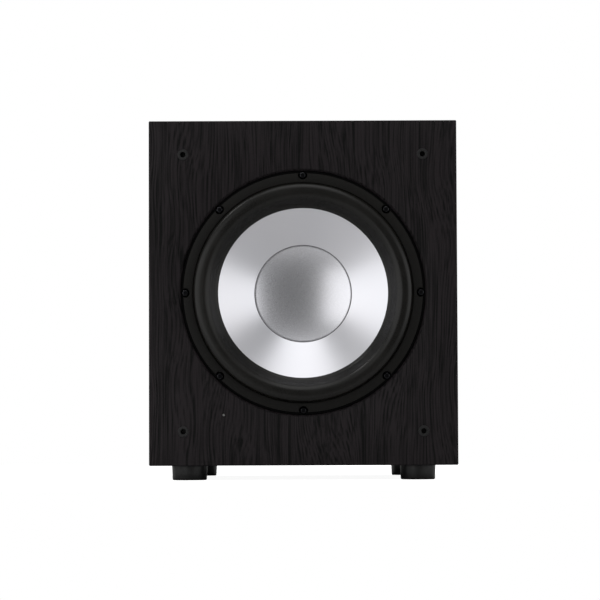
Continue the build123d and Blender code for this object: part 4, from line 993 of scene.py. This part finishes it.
def make_knob(name, node, body):
    """A fluted knob as loops from its foot to its middle. A flute takes a bite as deep as a
    circle of its own radius, centred just outside the rim, reaches in at that angle."""
    centre = middle(node)
    t, circle = unit_circle(20 * FLUTES)
    aside = ((t * FLUTES / FULL_TURN) % 1 - 0.5) * FULL_TURN * KNOB_R / FLUTES
    bite = np.sqrt(np.clip(FLUTE_R**2 - aside**2, 0, None)) - FLUTE_SHY
    fluted = (KNOB_R - np.clip(bite, 0, None))[:, None]
    rings = [
        (KNOB_FOOT, KNOB_BORE_R),
        (KNOB_FOOT, KNOB_R - 0.3),
        (KNOB_FOOT + 0.3, KNOB_R),
        (FLUTE_START - 0.1, KNOB_R - 0.05),
    ]
    loops = [(circle * radius, height) for height, radius in rings]
    sides = np.linspace(FLUTE_START, KNOB_HEIGHT - KNOB_ROUND, 4)
    taper = KNOB_R + (KNOB_TIP_R - KNOB_R) * (sides - KNOB_FOOT) / (KNOB_HEIGHT - KNOB_FOOT)
    turn = np.radians((20, 40, 60, 80))
    tip = KNOB_TIP_R - KNOB_ROUND * (1 - np.cos(turn))
    over = KNOB_HEIGHT - KNOB_ROUND * (1 - np.sin(turn))
    heights, radii = [*sides, *over, KNOB_HEIGHT], [*taper, *tip, KNOB_TIP_R - 1.2]
    loops += [(circle * np.minimum(radius, fluted), height) for height, radius in zip(heights, radii)]
    dish = KNOB_HEIGHT - KNOB_DISH
    loops += [(circle * (KNOB_TIP_R - 2.2), dish), (circle * POLE, dish)]
    shape = stacked(loops, (centre.x, plate_out, centre.z), closed=False)
    settle(make_mesh(name, [shape], textured_black, 40.0), body, "black_plastic", node)
    mark = slab((centre.x, plate_out + (KNOB_HEIGHT - 0.2) * MM, centre.z), POINTER, POINTER_OUT)
    return settle(make_mesh(f"{name}_pointer", [mark], white_ink), body, "black_plastic")


def slab(centre, size, out=0.0, turn=0.0):
    """A small flat block of a size in millimetres, its middle the given way out from a centre,
    towards +Z and then turned about the centre's Y axis."""
    steps = (-0.5, 0.5)
    block = np.array([(x, y, z) for x in steps for y in steps for z in steps]) * size
    x, y, z = block[:, 0], block[:, 1], block[:, 2] + out
    cos, sin = math.cos(turn), math.sin(turn)
    points = np.column_stack((x * cos + z * sin, y, z * cos - x * sin)) * MM + np.array(centre)
    faces = [(0, 1, 3, 2), (4, 6, 7, 5), (0, 4, 5, 1), (2, 3, 7, 6), (0, 2, 6, 4), (1, 5, 7, 3)]
    return points, np.array(faces)


def make_markings():
    """White print on the plate, without letters: scales round the knobs, ticks beside the
    switches, a line in each row of jacks, and frames round the jacks and the mains inlet."""
    parts = []
    face = plate_out + INK / 2 * MM

    def line(x, z, width, height):
        parts.append(slab((x, face, z), (width, INK, height)))

    def box(x, z, width, height):
        for side in (-1, 1):
            line(x + side * width / 2 * MM, z, INK_LINE, height + INK_LINE)
            line(x, z + side * height / 2 * MM, width, INK_LINE)

    for node in ("volume_knob", "crossover_knob"):
        centre = middle(node)
        for step in range(-5, 6):
            long = 2.0 if step % 5 == 0 else 1.2
            place, tick = (centre.x, face, centre.z), (INK_LINE, INK, long)
            parts.append(slab(place, tick, SCALE_R + long / 2, math.radians(30 * step)))
    for node in ("phase_switch_slider", "mode_switch_slider"):
        x, z = middle(node).x + 2 * MM, middle(node).z
        for side in (-1, 1):
            line(x + side * 6.6 * MM, z, 1.4, INK_LINE)
        line(x, z + 4.6 * MM, 9.0, INK_LINE)
    jacks = middle("rca_jacks")
    for row in JACK_ROWS.values():
        line(jacks.x, row * MM + plate_z, 8.0, INK_LINE)
    low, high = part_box("rca_jacks")
    box(jacks.x, jacks.z, JACK_FRAME_WIDTH, (high[2] - low[2]) / MM + 2 * JACK_FRAME_GAP)
    low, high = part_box("inlet_housing")
    width, height = ((high[axis] - low[axis]) / MM + 2 * INLET_FRAME_GAP for axis in (0, 2))
    box(middle("inlet_housing").x, middle("inlet_housing").z, width, height)
    return settle(make_mesh("plate_markings", parts, white_ink), "cabinet", "plate_paint")


def make_jack_inserts():
    """Coloured insulators in the jacks' mouths, white for the left channel and red for the
    right one, each a ring round a sprung contact tube."""
    ring = [
        (JACK_FACE - 0.4, 1.72),
        (JACK_FACE + 0.12, 1.72),
        (JACK_FACE + 0.22, 1.9),
        (JACK_FACE + 0.22, 3.0),
        (JACK_FACE + 0.1, 3.24),
        (JACK_FACE - 0.4, 3.24),
    ]
    tube = [
        (1.0, 1.15),
        (JACK_FACE - 0.7, 1.15),
        (JACK_FACE - 0.5, 1.25),
        (JACK_FACE - 0.5, 1.45),
        (JACK_FACE - 0.8, 1.62),
        (1.0, 1.62),
    ]
    for channel, nylon in (("left", white_nylon), ("right", red_nylon)):
        row = plate_z + JACK_ROWS[channel] * MM
        pieces = (("insulators", ring, 48, nylon), ("contacts", tube, 32, nickel))
        for name, profile, count, finish in pieces:
            profile = np.array(profile) * MM
            places = [(x * MM, plate_out, row) for x in JACK_COLUMNS]
            parts = [turned(profile, place, (0, 1, 0), count) for place in places]
            settle(make_mesh(f"jack_{name}_{channel}", parts, finish), "cabinet", "jack_nickel")


# ---------------------------------------------------------------- stage, light and camera


FLOOR_HALF_WIDTH = 1.1
FLOOR_NEAR = -0.72
FLOOR_FAR = 1.3
FLOOR_LIFT = 0.93
ROOM_GLOW = 0.42
DARK_GLOW = 0.17
DARK_DIRECTION = (0.12, -0.99, 0.03)
DARK_EDGE = 0.82
DARK_CORE = 0.97
WHITE = (1, 1, 1, 1)


def make_floor():
    """A plain white board under the object, lifted towards white for the viewer so that it
    meets the background, with the feet's soft shadows left faintly on it."""
    across = (-FLOOR_HALF_WIDTH, FLOOR_HALF_WIDTH, FLOOR_HALF_WIDTH, -FLOOR_HALF_WIDTH)
    depth = (FLOOR_NEAR, FLOOR_NEAR, FLOOR_FAR, FLOOR_FAR)
    mesh = bpy.data.meshes.new("floor")
    mesh.from_pydata([(x, y, 0) for x, y in zip(across, depth)], [], [(0, 1, 2, 3)])
    floor = bpy.data.objects.new("floor", mesh)
    bpy.context.scene.collection.objects.link(floor)
    material, tree, shader, _ = new_material("white_studio_floor", "#d2d2d2", 0.9, Emission_Color=WHITE)
    seen = add(tree, "LightPath", out="Is Camera Ray")
    lift = add(tree, "Math", {0: seen, 1: FLOOR_LIFT}, operation="MULTIPLY")
    tree.links.new(lift, shader["Emission Strength"])
    mesh.materials.append(material)


def make_world():
    """White for the viewer. For light and reflections it is an even grey room with a dark
    patch in front of the object."""
    world = bpy.data.worlds.new("studio")
    world.use_nodes = True
    tree = world.node_tree
    back = tree.nodes["Background"].inputs
    direction = {0: add(tree, "TexCoord", out="Generated"), 1: DARK_DIRECTION}
    ahead = add(tree, "VectorMath", direction, 1, operation="DOT_PRODUCT")
    glow = add(tree, "MapRange", {0: ahead, 1: DARK_EDGE, 2: DARK_CORE, 3: ROOM_GLOW, 4: DARK_GLOW})
    seen = add(tree, "LightPath", out="Is Camera Ray")
    tree.links.new(add(tree, "Math", {0: seen, 1: glow}, operation="MAXIMUM"), back["Strength"])
    back["Color"].default_value = WHITE
    bpy.context.scene.world = world


def softbox(name, azimuth, elevation, distance, width, height, radiance):
    """A rectangular lamp on a sphere about the driver, facing it. Azimuth is from the front
    towards +X, in degrees; radiance is what a mirror would show."""
    a, e = math.radians(azimuth), math.radians(elevation)
    away = Vector((math.sin(a) * math.cos(e), -math.cos(a) * math.cos(e), math.sin(e)))
    lamp = bpy.data.lights.new(name, "AREA")
    lamp.shape, lamp.size, lamp.size_y = "RECTANGLE", width, height
    lamp.energy = radiance * math.pi * width * height
    made = bpy.data.objects.new(name, lamp)
    made.location = Vector((0, front_y, driver_z)) + away * distance
    made.rotation_euler = away.to_track_quat("Z", "Y").to_euler()
    made.visible_camera = False
    bpy.context.scene.collection.objects.link(made)


# name: azimuth, elevation, distance, width, height, radiance
SOFTBOXES = {
    "overhead_softbox": (2, 66, 2.0, 1.4, 1.9, 1.24),
    "left_softbox": (-51, 5, 1.25, 1.9, 0.9, 1.02),
    "right_softbox": (62, 6, 2.2, 2.7, 1.4, 0.95),
    "high_left_softbox": (-66, 50, 1.6, 0.35, 0.35, 6),
    "rear_softbox_left": (-138, 32, 2.4, 1.6, 1.4, 2.2),
    "rear_softbox_right": (150, 20, 2.4, 1.2, 1.4, 1.6),
}


def make_camera():
    """A long lens low in front, tilted up slightly and rolled a quarter of a degree."""
    distance, height, side = 2.956, 0.0504, 0.0036
    pitch, yaw, roll = math.radians(2.817), math.radians(-0.135), math.radians(-0.215)
    focal, sensor, image = 2719.0, 36.0, 600.0
    ahead = Vector((math.sin(yaw) * math.cos(pitch), math.cos(yaw) * math.cos(pitch), math.sin(pitch)))
    right = Vector((math.cos(yaw), -math.sin(yaw), 0))
    up = right.cross(ahead)
    tilted_right = math.cos(roll) * right + math.sin(roll) * up
    tilted_up = -math.sin(roll) * right + math.cos(roll) * up
    data = bpy.data.cameras.new("camera")
    data.lens, data.sensor_width = focal * sensor / image, sensor
    data.clip_end = 100
    camera = bpy.data.objects.new("camera", data)
    turn = Matrix((tilted_right, tilted_up, -ahead)).transposed()
    camera.matrix_world = Matrix.Translation((side, front_y - distance, height)) @ turn.to_4x4()
    bpy.context.scene.collection.objects.link(camera)
    bpy.context.scene.camera = camera


# ---------------------------------------------------------------- everything in its place

make_camera()
make_baffle()
make_sockets()
make_status_light()
make_feet()
make_cone()
make_dust_cap()
make_surround()
make_spider()
make_tinsel()
make_trim_ring()
make_driver_screws()
make_port()
make_knob("volume_dial", "volume_knob", "volume_control")
make_knob("crossover_dial", "crossover_knob", "crossover_control")
make_markings()
make_jack_inserts()

cad_finishes = {
    crosswise_vinyl: ["top_panel", "bottom_panel"],
    vertical_vinyl: ["left_panel", "right_panel", "rear_panel"],
    fibreboard: ["window_brace"],
    wadding: ["damping_wadding"],
    zinc: [
        "foot_screws",
        "top_plate",
        "pole_yoke",
        "transformer_clamp",
        "potentiometers",
        "slide_switch_bodies",
    ],
    # the basket's near-black prime coat is partly painted shade for the gap round the driver
    primer_and_gap_shade: ["basket"],
    foam: ["baffle_gasket", "amp_gasket"],
    ferrite: ["magnet_ring"],
    phenolic: ["terminal_strip"],
    brass: ["driver_terminals", "inlet_pins"],
    polyimide: ["voice_coil_former"],
    copper: ["voice_coil"],
    gloss_black: [
        "phase_switch_slider",
        "mode_switch_slider",
        "mains_rocker_frame",
        "mains_rocker",
        "inlet_housing",
        "fuse_drawer",
    ],
    textured_black: ["amp_housing", "output_transistors"],
    coated_black: ["amp_plate"],
    fin_black: ["heat_sink"],
    screw_black: ["amp_plate_screws"],
    board_green: ["main_board", "input_board"],
    tape_yellow: ["transformer"],
    sleeve_blue: ["filter_capacitors"],
    nickel: ["rca_jacks"],
    tube_glass: ["fuse"],
    red_pvc: ["driver_lead_red"],
    black_pvc: ["driver_lead_black"],
}
for material, names in cad_finishes.items():
    for name in names:
        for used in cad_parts[name].material_slots:
            used.material = material

make_floor()
make_world()
for name, settings in SOFTBOXES.items():
    softbox(name, *settings)
bpy.context.scene.view_settings.view_transform = "Standard"
